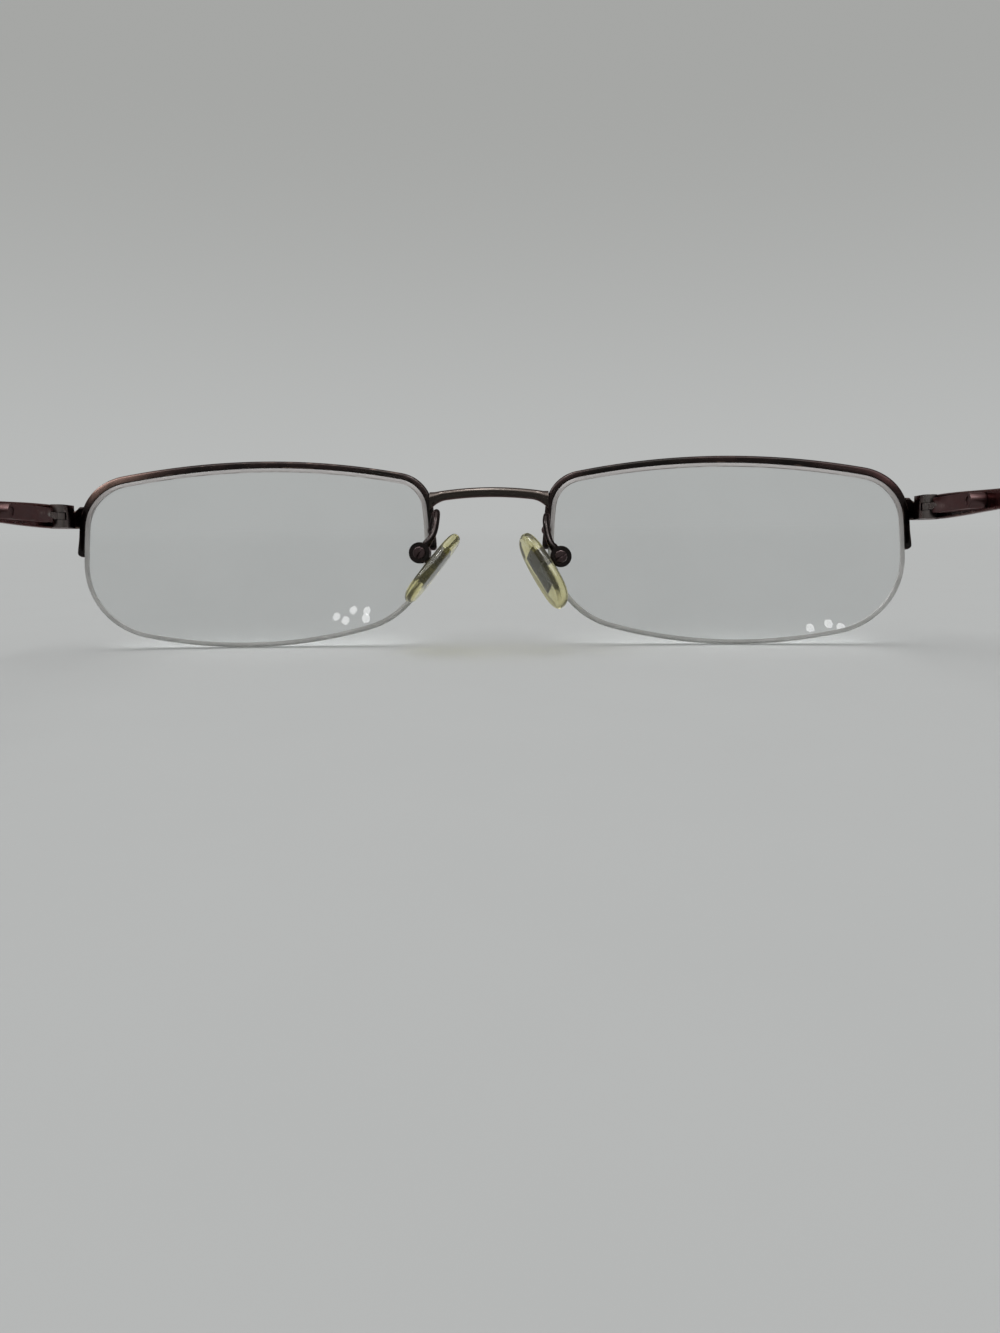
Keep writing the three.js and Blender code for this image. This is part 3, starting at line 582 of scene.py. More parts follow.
def slotted_screw_tree():
    """Cuts a domed, slotted screw with a threaded shank, head up, at each point of its base."""
    head_sizes = ("Head Radius", "Head Height", "Dome", "Slot Width", "Slot Depth")
    shank_sizes = ("Shank Radius", "Shank Length", "Thread Depth", "Thread Pitch")
    sizes = dict.fromkeys(head_sizes + shank_sizes, "Float")
    tree, given = start_tree(
        "slotted_screw", {"Points": "Geometry", "Turned": "Rotation", **sizes, "Finish": "Material"}
    )

    def cylinder(radius, depth, counts):
        sockets = {**counts, "Radius": given[radius], "Depth": given[depth]}
        return put(tree, "GeometryNodeMeshCylinder", sockets).outputs["Mesh"]

    def shaped(mesh, offset):
        return put(tree, "GeometryNodeSetPosition", {"Geometry": mesh, "Offset": offset}).outputs[0]

    def raised(mesh, level):
        sockets = {"Geometry": mesh, "Translation": joined(tree, Z=level)}
        return put(tree, "GeometryNodeTransform", sockets).outputs[0]

    axis = split(tree, put(tree, "GeometryNodeInputPosition").outputs[0])
    x, y, z = axis["X"], axis["Y"], axis["Z"]
    across = calculate(tree, "SQRT", calculate(tree, "ADD", times(tree, x, x), times(tree, y, y)))
    share = calculate(tree, "DIVIDE", across, given["Head Radius"])
    crown = calculate(tree, "SUBTRACT", 1.0, calculate(tree, "POWER", share, DOME_POWER))
    above = calculate(tree, "DIVIDE", z, given["Head Height"])
    swelling = times(tree, times(tree, crown, given["Dome"]), above)
    head = cylinder("Head Radius", "Head Height", {"Vertices": 56, "Side Segments": 6, "Fill Segments": 8})
    domed = shaped(head, joined(tree, Z=swelling))

    slot_long = times(tree, given["Head Radius"], 3.0)
    slot_tall = times(tree, given["Slot Depth"], 2.0)
    slot_size = joined(tree, X=slot_long, Y=given["Slot Width"], Z=slot_tall)
    slot = put(tree, "GeometryNodeMeshCube", {"Size": slot_size}).outputs["Mesh"]
    half_head = times(tree, given["Head Height"], 0.5)
    slot_level = calculate(tree, "ADD", half_head, times(tree, given["Slot Depth"], SLOT_LIFT))
    tools = {"Mesh 1": domed, "Mesh 2": raised(slot, slot_level)}
    cut = put(tree, "GeometryNodeMeshBoolean", tools, operation="DIFFERENCE", solver="EXACT")

    climb = times(tree, calculate(tree, "DIVIDE", z, given["Thread Pitch"]), TURN)
    bearing = calculate(tree, "ARCTAN2", y, x)
    wave = calculate(tree, "SINE", calculate(tree, "SUBTRACT", climb, bearing))
    half_depth = times(tree, given["Thread Depth"], 0.5)
    bite = times(tree, calculate(tree, "SUBTRACT", wave, 1.0), half_depth)
    outward = put(tree, "ShaderNodeVectorMath", {0: joined(tree, X=x, Y=y)}, operation="NORMALIZE")
    groove = put(tree, "ShaderNodeVectorMath", {0: outward.outputs[0], "Scale": bite}, operation="SCALE")
    shank = cylinder("Shank Radius", "Shank Length", {"Vertices": 24, "Side Segments": 60})
    length = calculate(tree, "ADD", given["Shank Length"], given["Head Height"])
    hung = raised(shaped(shank, groove.outputs[0]), times(tree, length, -SHANK_HANG))

    both = put(tree, "GeometryNodeJoinGeometry")
    for part in (cut.outputs["Mesh"], hung):
        tree.links.new(part, both.inputs[0])
    screws = put(
        tree,
        "GeometryNodeInstanceOnPoints",
        {"Points": given["Points"], "Instance": both.outputs[0], "Rotation": given["Turned"]},
    )
    return end_tree(tree, screws.outputs[0], given["Finish"])


# Meshes, with angles in degrees and the bend in metres that counts as a sharp edge
CREASE = 40.0
BEVEL_ANGLE = 35.0
EDGE_RADIUS = 0.0003
ROD_TURNS = {
    "X": Matrix.Rotation(math.pi / 2, 4, "Y"),
    "Y": Matrix.Rotation(math.pi / 2, 4, "X"),
    "Z": Matrix(),
}


def new_object(name, data):
    made = bpy.data.objects.new(name, data)
    bpy.context.scene.collection.objects.link(made)
    return made


def line_object(points, closed=False, **attributes):
    """Bare line of points for a node tree, with its own attributes."""
    mesh = bpy.data.meshes.new("line")
    count = len(points)
    edges = [(i, (i + 1) % count) for i in range(count if closed else count - 1)]
    flat = [tuple(p) if len(p) == 3 else (*p, 0.0) for p in points]
    mesh.from_pydata(flat, edges, [])
    for name, values in attributes.items():
        values = np.asarray(values, np.float32)
        kind, field = ("FLOAT_VECTOR", "vector") if values.ndim == 2 else ("FLOAT", "value")
        mesh.attributes.new(name, kind, "POINT").data.foreach_set(field, values.ravel())
    return new_object("line", mesh)


def creased(mesh, crease=CREASE):
    """The mesh shaded smooth, apart from edges sharper than the crease angle."""
    mesh.shade_smooth()
    mesh.set_sharp_from_angle(angle=rad(crease))
    return mesh


def mesh_from(build, crease=CREASE):
    """Mesh from a bmesh with faces turned outwards and smooth up to a crease angle."""
    bmesh.ops.recalc_face_normals(build, faces=build.faces)
    mesh = bpy.data.meshes.new("skin")
    build.to_mesh(mesh)
    build.free()
    return creased(mesh, crease)


def ring_mesh(rings, bands=None, crease=CREASE):
    """Skin over equal rings of points in metres, closed by a fan at each end."""
    build = bmesh.new()
    loops = [[build.verts.new(p) for p in ring] for ring in rings]
    count = len(loops[0])
    for i, (low, high) in enumerate(zip(loops, loops[1:])):
        for j in range(count):
            k = (j + 1) % count
            face = build.faces.new((low[j], low[k], high[k], high[j]))
            face.material_index = bands[i] if bands else 0
    for loop in (loops[0], loops[-1]):
        pole = build.verts.new(np.mean([v.co for v in loop], axis=0))
        for j in range(count):
            build.faces.new((pole, loop[j], loop[(j + 1) % count]))
    return mesh_from(build, crease)


def swept_rings(path, up, outline_at):
    """Rings of an outline carried along a worn path, its second axis near up."""
    path = np.asarray(path, float)
    along = unit(np.gradient(path, axis=0))
    side = unit(np.cross(along, up))
    top = np.cross(side, along)
    outlines = [outline_at(i) for i in range(len(path))]
    return [p + o[:, :1] * s + o[:, 1:] * t for p, o, s, t in zip(path, outlines, side, top)]


def block(size, centre, turn=None):
    build = bmesh.new()
    turned = (turn or Matrix()).to_4x4() @ Matrix.Diagonal((*size, 1.0))
    bmesh.ops.create_cube(build, size=1.0, matrix=Matrix.Translation(Vector(centre)) @ turned)
    return mesh_from(build)


def rod(radius, length, centre, axis, facets=56):
    build = bmesh.new()
    place = Matrix.Translation(Vector(centre)) @ ROD_TURNS[axis]
    bmesh.ops.create_cone(
        build, cap_ends=True, segments=facets, radius1=radius, radius2=radius, depth=length, matrix=place
    )
    return mesh_from(build)


def wedge(wide, centre, depth, opening, ahead):
    """Block across X that narrows backwards from an opening to an edge."""
    x, y, z = centre
    tall = opening * (depth + ahead) / depth
    build = bmesh.new()
    ends = []
    for across in (x - wide / 2, x + wide / 2):
        corners = [(across, y - depth, z), (across, y + ahead, z - tall), (across, y + ahead, z + tall)]
        ends.append([build.verts.new(p) for p in corners])
        build.faces.new(ends[-1])
    for j in range(3):
        k = (j + 1) % 3
        build.faces.new((ends[0][j], ends[0][k], ends[1][k], ends[1][j]))
    return mesh_from(build)


def carved(keep, cut, rounding):
    """Worn millimetre mesh of kept shapes joined and cut shapes taken away, its edges rounded."""
    shapes = [new_object("shape", mesh) for mesh in [*keep, *cut]]
    base = shapes[0]
    for i, shape in enumerate(shapes[1:], 1):
        join = base.modifiers.new("join", "BOOLEAN")
        join.operation = "UNION" if i < len(keep) else "DIFFERENCE"
        join.solver = "EXACT"
        join.object = shape
    soften = base.modifiers.new("soften", "BEVEL")
    soften.width = rounding
    soften.segments = 3
    soften.limit_method = "ANGLE"
    soften.angle_limit = rad(BEVEL_ANGLE)
    depsgraph = bpy.context.evaluated_depsgraph_get()
    mesh = bpy.data.meshes.new_from_object(base.evaluated_get(depsgraph))
    for shape in shapes:
        bpy.data.objects.remove(shape)
    return creased(mesh)


def placed(mesh, side=1):
    """The worn millimetre mesh as row metres, mirrored for the left side."""
    copy = mesh.copy()
    copy.transform(worn_to_row @ Matrix.Diagonal((side, 1, 1, 1)))
    if side < 0:
        copy.flip_normals()
    return copy


def mark_edges(mesh):
    """Stores how tightly the surface bends outwards at each point, where a finish wears first."""
    build = bmesh.new()
    build.from_mesh(mesh)
    bend = np.zeros(len(build.verts), np.float32)
    for edge in build.edges:
        if len(edge.link_faces) != 2 or edge.calc_length() < 1e-9:
            continue
        across = sum(f.calc_area() for f in edge.link_faces) / (2 * edge.calc_length())
        tight = edge.calc_face_angle_signed(0.0) / max(across, 1e-9) * EDGE_RADIUS
        for v in edge.verts:
            bend[v.index] = max(bend[v.index], min(tight, 1.0))
    build.free()
    mesh.attributes.new("edge", "FLOAT", "POINT").data.foreach_set("value", bend)


def add_piece(name, mesh, finishes, body, nodes):
    """Shows a mesh as a piece that rides on a body and stands for CAD nodes."""
    mesh.name = name
    if len(mesh.materials):
        mesh.materials.clear()
    for finish in finishes:
        mesh.materials.append(finish)
    mark_edges(mesh)
    piece = new_object(name, mesh)
    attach(piece, body)
    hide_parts(*nodes)
    return piece


# Finishes, with the places in metres where the plating and the lens edge change tone; the rim corners' glints
# and the lens edge's change with height are painted light
GRAIN_DEPTH = 0.00002
# Height band over which the lens edge's painted light changes
EDGE_PAINTED_LIGHT_BAND = (0.012, 0.022)
# The corner reaches, the corner height and the corner bronze place painted reflections on the rims' outer top
# corners.
CORNER_GLINT_REACH = (0.0515, 0.0635)
BRONZE_GLINT_REACH = (-0.0465, -0.0585)
MAROON_REACH = (-0.0611, -0.0621)
TEMPLE_REACH = (0.054, 0.038)
CORNER_GLINT_HEIGHT = (0.0205, 0.0240)
CORNER_BRONZE_GLINT = (0.135, 0.085, 0.071, 1.0)
GRAZING_TINT = (0.5, 0.36, 0.36, 1.0)


def start_group(name, inputs, outputs):
    group = bpy.data.node_groups.new(name, "ShaderNodeTree")
    for label, (kind, value) in inputs.items():
        socket = group.interface.new_socket(label, in_out="INPUT", socket_type="NodeSocket" + kind)
        if value is not None:
            socket.default_value = value
    for label, kind in outputs.items():
        group.interface.new_socket(label, in_out="OUTPUT", socket_type="NodeSocket" + kind)
    return group, group.nodes.new("NodeGroupInput").outputs


def use_group(tree, group, values):
    return put(tree, "ShaderNodeGroup", values, node_tree=group).outputs


def spread(tree, value, low, high, to_low=0.0, to_high=1.0):
    values = {"Value": value, "From Min": low, "From Max": high, "To Min": to_low, "To Max": to_high}
    return put(tree, "ShaderNodeMapRange", values, interpolation_type="SMOOTHSTEP").outputs["Result"]


def noise(tree, vector, scale, detail=3.0, roughness=0.55):
    values = {"Vector": vector, "Scale": scale, "Detail": detail, "Roughness": roughness}
    return put(tree, "ShaderNodeTexNoise", values).outputs["Fac"]


def mix_colour(tree, share, a, b):
    node = put(tree, "ShaderNodeMix", data_type="RGBA")
    for key, value in (("Factor_Float", share), ("A_Color", a), ("B_Color", b)):
        plug(tree, value, next(s for s in node.inputs if s.identifier == key))
    return next(s for s in node.outputs if s.identifier == "Result_Color")


def rough_normal(tree, height, strength):
    sockets = {"Height": height, "Strength": strength, "Distance": GRAIN_DEPTH}
    return put(tree, "ShaderNodeBump", sockets).outputs[0]


def feed(tree, shader, **links):
    for label, socket in links.items():
        tree.links.new(socket, shader.inputs[label.replace("_", " ")])


def handling_group():
    """Finger smudges, hairline scratches and fine grain left by use."""
    group, given = start_group(
        "handling",
        {"Vector": ("Vector", None), "Smudge Scale": ("Float", 150.0), "Grain Scale": ("Float", 6000.0)},
        {"Smudge": "Float", "Scratch": "Float", "Grain": "Float"},
    )
    smudge = spread(group, noise(group, given["Vector"], given["Smudge Scale"]), 0.36, 0.68)
    stretched = put(
        group,
        "ShaderNodeMapping",
        {"Vector": given["Vector"], "Rotation": (0.5, 0.2, 0.6), "Scale": (900.0, 11000.0, 11000.0)},
    )
    lines = noise(group, stretched.outputs[0], 1.0, 1.0, 0.4)
    scratch = spread(group, lines, 0.66, 0.74)
    grain = noise(group, given["Vector"], given["Grain Scale"], 2.0, 0.6)
    put(group, "NodeGroupOutput", {"Smudge": smudge, "Scratch": scratch, "Grain": grain})
    return group


def edge_polish_group():
    """Mask of rubbed bright edges, broken up by a noise."""
    group, given = start_group(
        "edge_polish",
        {"Vector": ("Vector", None), "Break Scale": ("Float", 700.0), "Start": ("Float", 0.55)},
        {"Polish": "Float"},
    )
    edge = put(group, "ShaderNodeAttribute", attribute_name="edge").outputs["Fac"]
    limits = {"Value": edge, "From Min": given["Start"], "From Max": 1.0}
    sharp = put(group, "ShaderNodeMapRange", limits).outputs["Result"]
    patches = spread(group, noise(group, given["Vector"], given["Break Scale"], 4.0, 0.6), 0.42, 0.7)
    slow = times(group, given["Break Scale"], 0.15)
    stretches = spread(group, noise(group, given["Vector"], slow, 1.0), 0.44, 0.62)
    polish = times(group, times(group, sharp, patches), stretches)
    put(group, "NodeGroupOutput", {"Polish": polish})
    return group


handling = handling_group()
edge_polish = edge_polish_group()


def marks_of_use(tree, here, smudge, grain=6000.0):
    return use_group(tree, handling, {"Vector": here, "Smudge Scale": smudge, "Grain Scale": grain})


def rubbed_edges(tree, here, start, patches=700.0):
    return use_group(tree, edge_polish, {"Vector": here, "Break Scale": patches, "Start": start})["Polish"]


def empty_material(name):
    finish = bpy.data.materials.new(name)
    finish.use_nodes = True
    finish.node_tree.nodes.clear()
    return finish, finish.node_tree


def start_material(name, plain):
    """New material, its shader with plain sockets set, and the object's own coordinates."""
    finish, tree = empty_material(name)
    shader = put(tree, "ShaderNodeBsdfPrincipled", plain)
    put(tree, "ShaderNodeOutputMaterial", {"Surface": shader.outputs[0]})
    here = put(tree, "ShaderNodeTexCoord").outputs["Object"]
    return finish, tree, shader, here


def plated_metal(name, deep, warm_and_glint, worn, roughness, polish_start):
    """Lacquered plating, burgundy along the temples, with painted reflections on the rims' outer top corners:
    a burgundy glint at one, a bronze glint at the other.
    """
    plain = {"Metallic": 1.0, "Specular Tint": GRAZING_TINT, "Coat Weight": 0.25, "Coat Roughness": 0.12}
    finish, tree, shader, here = start_material(name, plain)
    marks = marks_of_use(tree, here, 260.0, 9000.0)
    rubbed = rubbed_edges(tree, here, polish_start)
    clouds = spread(tree, noise(tree, here, 95.0, 2.0), 0.3, 0.75)
    spot = split(tree, here)
    # Painted reflections: the corner mask brings the warm tone onto the outer top corner of the right rim,
    # and bronze onto the left one, as glints of light; the warm tone along the temples is their own colour.
    corner_level = spread(tree, spot["Z"], *CORNER_GLINT_HEIGHT)
    corner = times(tree, spread(tree, spot["X"], *CORNER_GLINT_REACH), corner_level)
    bronze_glint = times(tree, spread(tree, spot["X"], *BRONZE_GLINT_REACH), corner_level)
    along = spread(tree, spot["Y"], *TEMPLE_REACH)
    ends = spread(tree, spot["X"], *MAROON_REACH)
    tint = calculate(tree, "MAXIMUM", calculate(tree, "MAXIMUM", corner, ends), along)
    warmth_and_glint = calculate(tree, "MULTIPLY_ADD", clouds, 0.15, times(tree, tint, 0.85))
    plated = mix_colour(tree, warmth_and_glint, deep, warm_and_glint)
    toned = mix_colour(tree, bronze_glint, plated, CORNER_BRONZE_GLINT)
    bare = calculate(tree, "MULTIPLY_ADD", marks["Scratch"], 0.15, rubbed)
    colour = mix_colour(tree, bare, toned, worn)
    dull = calculate(tree, "MULTIPLY_ADD", marks["Smudge"], 0.14, roughness)
    feed(tree, shader, Base_Color=colour, Roughness=dull, Normal=rough_normal(tree, marks["Grain"], 0.08))
    return finish


def turned_steel(name, clean, greasy, bright):
    """Plain steel, a little greasy, bright where it is rubbed."""
    finish, tree, shader, here = start_material(name, {"Metallic": 1.0})
    marks = marks_of_use(tree, here, 700.0, 12000.0)
    rubbed = rubbed_edges(tree, here, 0.4, 1500.0)
    toned = mix_colour(tree, marks["Smudge"], clean, greasy)
    colour = mix_colour(tree, rubbed, toned, bright)
    dull = calculate(tree, "MULTIPLY_ADD", marks["Smudge"], 0.2, 0.24)
    feed(tree, shader, Base_Color=colour, Roughness=dull)
    return finish


def see_through(name, bending, clearness, shade):
    """Clear material whose shadow stays light: lamp rays pass with a tint."""
    plain = {"Metallic": 0.0, "IOR": bending, "Transmission Weight": clearness}
    finish, tree, shader, here = start_material(name, plain)
    out = next(n for n in tree.nodes if n.type == "OUTPUT_MATERIAL")
    lamp_ray = put(tree, "ShaderNodeLightPath").outputs["Is Shadow Ray"]
    film = put(tree, "ShaderNodeBsdfTransparent", {"Color": shade})
    both = put(tree, "ShaderNodeMixShader", {0: lamp_ray, 1: shader.outputs[0], 2: film.outputs[0]})
    tree.links.new(both.outputs[0], out.inputs["Surface"])
    return finish, tree, shader, here


def lens_glass():
    """Clear lens with a faint haze of finger marks."""
    finish, tree, shader, here = see_through("lens_glass", 1.5, 1.0, (0.9, 0.91, 0.91, 1.0))
    marks = marks_of_use(tree, here, 60.0)
    colour = mix_colour(tree, marks["Smudge"], (0.85, 0.86, 0.86, 1.0), (0.83, 0.84, 0.84, 1.0))
    haze = times(tree, marks["Smudge"], 0.012)
    feed(tree, shader, Base_Color=colour, Roughness=haze)
    return finish


def lens_edge_glass(name, clearness, upper, lower):
    """Ground edge of the lens, finely frosted, from its lower pair of tones to its upper pair; this change
    with height is painted light.
    """
    finish, tree, shader, here = see_through(name, 1.5, clearness, (0.75, 0.76, 0.76, 1.0))
    marks = marks_of_use(tree, here, 300.0, 14000.0)
    above = mix_colour(tree, marks["Smudge"], *upper)
    below = mix_colour(tree, marks["Smudge"], *lower)
    colour = mix_colour(tree, spread(tree, split(tree, here)["Z"], *EDGE_PAINTED_LIGHT_BAND), below, above)
    frost = calculate(tree, "MULTIPLY_ADD", marks["Grain"], 0.2, 0.22)
    feed(tree, shader, Base_Color=colour, Roughness=frost)
    return finish


def nylon_line():
    """Drawn nylon, cloudy and slightly grey with age."""
    finish, tree, shader, here = see_through("nylon_line", 1.53, 0.6, (0.7, 0.71, 0.7, 1.0))
    marks = marks_of_use(tree, here, 500.0, 16000.0)
    colour = mix_colour(tree, marks["Smudge"], (0.6, 0.6, 0.585, 1.0), (0.48, 0.48, 0.465, 1.0))
    dull = calculate(tree, "MULTIPLY_ADD", marks["Grain"], 0.2, 0.2)
    feed(tree, shader, Base_Color=colour, Roughness=dull)
    return finish


def pad_vinyl():
    """Soft clear vinyl, yellowed in clouds, with a greasy sheen."""
    finish, tree, shader, here = see_through("pad_vinyl", 1.42, 0.95, (0.85, 0.83, 0.6, 1.0))
    marks = marks_of_use(tree, here, 420.0, 7000.0)
    clouds = spread(tree, noise(tree, here, 220.0, 3.0), 0.34, 0.7)
    aged = mix_colour(tree, clouds, (0.86, 0.82, 0.5, 1.0), (0.74, 0.68, 0.31, 1.0))
    colour = mix_colour(tree, marks["Scratch"], aged, (0.9, 0.89, 0.8, 1.0))
    dull = calculate(tree, "MULTIPLY_ADD", marks["Smudge"], 0.14, 0.05)
    feed(tree, shader, Base_Color=colour, Roughness=dull)
    return finish


def tip_acetate():
    """Dark brown acetate with slow translucent-looking flames in the sheet."""
    plain = {"Metallic": 0.0, "IOR": 1.49, "Coat Weight": 0.4, "Coat Roughness": 0.06}
    finish, tree, shader, here = start_material("tip_acetate", plain)
    marks = marks_of_use(tree, here, 180.0, 8000.0)
    drawn_out = put(tree, "ShaderNodeMapping", {"Vector": here, "Scale": (160.0, 45.0, 120.0)})
    swirl = noise(tree, drawn_out.outputs[0], 1.0, 4.0, 0.5)
    flames = spread(tree, swirl, 0.42, 0.66)
    sheet = mix_colour(tree, flames, (0.012, 0.007, 0.006, 1.0), (0.05, 0.02, 0.012, 1.0))
    rubbed = rubbed_edges(tree, here, 0.3)
    colour = mix_colour(tree, rubbed, sheet, (0.07, 0.045, 0.035, 1.0))
    dull = calculate(tree, "MULTIPLY_ADD", marks["Smudge"], 0.16, 0.16)
    feed(tree, shader, Base_Color=colour, Roughness=dull, Normal=rough_normal(tree, marks["Scratch"], 0.1))
    return finish


brown_plating = plated_metal(
    "brown_plating",
    deep=(0.0065, 0.0052, 0.0046, 1.0),
    warm_and_glint=(0.068, 0.03, 0.03, 1.0),
    worn=(0.2, 0.14, 0.115, 1.0),
    roughness=0.19,
    polish_start=0.82,
)
# Painted light: a lighter copy of the rim plating for the bridge, so that it shows the ceiling panel's
# reflection brighter than the rims do.
bridge_plating = plated_metal(
    "bridge_plating",
    deep=(0.03, 0.025, 0.021, 1.0),
    warm_and_glint=(0.05, 0.03, 0.027, 1.0),
    worn=(0.3, 0.25, 0.21, 1.0),
    roughness=0.1,
    polish_start=0.68,
)
hinge_plating = plated_metal(
    "hinge_plating",
    deep=(0.085, 0.046, 0.046, 1.0),
    warm_and_glint=(0.07, 0.038, 0.038, 1.0),
    worn=(0.42, 0.36, 0.34, 1.0),
    roughness=0.28,
    polish_start=0.5,
)
# Painted highlight: a paler copy of the plating for the hinge knuckles and eye rod, standing for the bright
# reflection down the hinge barrel.
barrel_plating = plated_metal(
    "barrel_plating",
    deep=(0.11, 0.095, 0.09, 1.0),
    warm_and_glint=(0.13, 0.1, 0.095, 1.0),
    worn=(0.5, 0.45, 0.42, 1.0),
    roughness=0.24,
    polish_start=0.5,
)
steel = turned_steel(
    "screw_steel",
    clean=(0.36, 0.33, 0.31, 1.0),
    greasy=(0.2, 0.17, 0.16, 1.0),
    bright=(0.62, 0.6, 0.57, 1.0),
)
dark_steel = turned_steel(
    "pad_screw_steel",
    clean=(0.06, 0.042, 0.043, 1.0),
    greasy=(0.035, 0.024, 0.024, 1.0),
    bright=(0.45, 0.39, 0.38, 1.0),
)
core_steel = turned_steel(
    "pad_core_steel",
    clean=(0.036, 0.034, 0.016, 1.0),
    greasy=(0.02, 0.019, 0.009, 1.0),
    bright=(0.15, 0.145, 0.11, 1.0),
)
glass = lens_glass()
edge_grey = ((0.53, 0.523, 0.51, 1.0), (0.43, 0.425, 0.413, 1.0))
edge_painted_rim_reflection = ((0.43, 0.403, 0.39, 1.0), (0.35, 0.327, 0.316, 1.0))
# Tones of the painted shade line on the lens's back
shade_line_tones = ((0.2, 0.18, 0.17, 1.0), (0.5, 0.475, 0.46, 1.0))
# Painted reflection: the ground edge is darker and browner towards the top, for the plated rim reflected in
# it, and paler grey lower down.
ground_edge = lens_edge_glass("lens_edge", 0.2, edge_painted_rim_reflection, edge_grey)
# Painted shade: a dark line on the lens's back just inside the bevel, for the dark border the edge shows
# through the glass.
painted_shade_line = lens_edge_glass("lens_edge_grime", 0.0, shade_line_tones, edge_grey)
nylon = nylon_line()
vinyl = pad_vinyl()
acetate = tip_acetate()

section_on_path = section_sweep_tree()
round_wire = round_wire_tree()
coil_spring = coil_spring_tree()
slotted_screw = slotted_screw_tree()


# Lenses, rims, liners and cords
CLEAR, GROUND, SHADE_LINE = range(3)


def lens_mesh(side):
    """Lens with clear faces, a ground edge with its groove, and a painted dark line round the upper part of
    its back, standing for shade seen just inside the edge.
    """
    edge = lens_edge(math.pi, -math.pi, 2 * EDGE_SPACING)[:-1]
    half = LENS_THICKNESS / 2
    shares = np.linspace(LENS_POLE, 1.0, LENS_RINGS)[:-1]

    def face(share, depth):
        u, v = edge[:, 0] * share, edge[:, 1] * share
        return lens_place(u, v, sag(u, v) - depth)

    def back_inset(n):
        u, v = edge[:, 0] + n * edge[:, 2], edge[:, 1] + n * edge[:, 3]
        return lens_place(u, v, sag(u, v) - LENS_THICKNESS)

    groove = [(-GROOVE_DEPTH * deep, GROOVE_WIDTH / 2 * wide) for deep, wide in GROOVE_FLOOR]
    profile = [
        (0, PIN_BEVEL_DEPTH - half),
        *((n, -w) for n, w in groove),
        *groove[::-1],
        (0, half - LENS_BEVEL),
        (-LENS_BEVEL, half),
    ]
    back = [face(s, LENS_THICKNESS) for s in shares]
    width = PIN_BEVEL_WIDTH - LOWER_BEVEL_CUT * np.clip(-edge[:, 3], 0, 1)
    shade_line = [back_inset(-width - SHADE_LINE_WIDTH)]
    rim_rings = [back_inset(-width), *(at_edge(edge, n, w) for n, w in profile)]
    front = [face(s, 0) for s in shares[::-1]]
    rings = [row(r, side) for r in (*back, *shade_line, *rim_rings, *front)]
    bands = [CLEAR] * len(back) + [SHADE_LINE] + [GROUND] * len(profile) + [CLEAR] * len(front)
    mesh = ring_mesh(rings, bands, LENS_CREASE)
    # The painted shade line is kept only above its lowest height.
    for polygon in mesh.polygons:
        if polygon.material_index == SHADE_LINE and polygon.center.z < SHADE_LINE_FLOOR * MM:
            polygon.material_index = CLEAR
    return mesh


def rim_section():
    """Half round outside, square inside, with the channel for the liner, one unit across."""
    t, d = RIM_THICKNESS / 2, RIM_DEPTH / 2
    g, floor = GROOVE_WIDTH / 2, RIM_CHANNEL_DEPTH - RIM_THICKNESS / 2
    corners = [
        (t, -d, RIM_CORNER),
        (t, d, RIM_CORNER),
        (-t, d, RIM_INNER_CORNER),
        (-t, g, RIM_CHANNEL_CORNER),
        (floor, g, RIM_CHANNEL_CORNER),
        (floor, -g, RIM_CHANNEL_CORNER),
        (-t, -g, RIM_CHANNEL_CORNER),
        (-t, -d, RIM_INNER_CORNER),
    ]
    return rounded_outline(corners) / (RIM_THICKNESS, RIM_DEPTH)


def swept_section(path, outline, thickness, depth, finish):
    """Mesh of a one-unit outline carried along a path, as thick and deep as given in millimetres."""
    section = line_object(outline, closed=True)
    sizes = {"Section": section, "Thickness": thickness * MM, "Depth": depth * MM, "Finish": finish}
    mesh = grown(section_on_path, path, sizes)
    bpy.data.objects.remove(section)
    return mesh


def rim_mesh(side):
    """Half rim along the lens edge, thinner at its sides, with rounded and slightly swollen ends."""
    start = nasal_angle(RIM_NASAL_END + RIM_END_ROUND)
    edge = lens_edge(start, temporal_angle(RIM_TEMPORAL_END + RIM_END_ROUND))
    run = run_lengths(at_edge(edge, 0, 0))
    from_end = np.minimum(run, run[-1] - run)
    top_share = lerp(RIM_NASAL_SHARE, 1.0, smoothstep(run / run[-1], *RIM_TOP_FADE))
    swell = lerp(RIM_SIDE_SHARE, top_share, smoothstep(edge[:, 3], *RIM_SIDE_FADE))
    swell = lerp(swell, RIM_BULB_SHARE, 1 - smoothstep(from_end, 0, RIM_BULB_RUN))
    centre = at_edge(edge, FIT_GAP + RIM_THICKNESS / 2 * swell, 0)
    outward = unit(at_edge(edge, 1, 0) - at_edge(edge, 0, 0))
    steps = np.sin(np.linspace(0.25, 0.97, 7) * math.pi / 2)
    before = unit(centre[0] - centre[1]) * RIM_END_ROUND
    after = unit(centre[-1] - centre[-2]) * RIM_END_ROUND
    first, last = centre[0] + before * steps[::-1, None], centre[-1] + after * steps[:, None]
    centre = np.vstack([first, centre, last])
    shrink = np.sqrt(1 - steps**2)
    swell = np.concatenate([swell[0] * shrink[::-1], swell, swell[-1] * shrink])
    outward = np.pad(outward, ((len(steps), len(steps)), (0, 0)), "edge")
    outward_row = row(centre + outward, side) - row(centre, side)
    path = line_object(row(centre, side), outward=outward_row, swell=swell)
    return swept_section(path, rim_section(), RIM_THICKNESS, RIM_DEPTH, brown_plating)


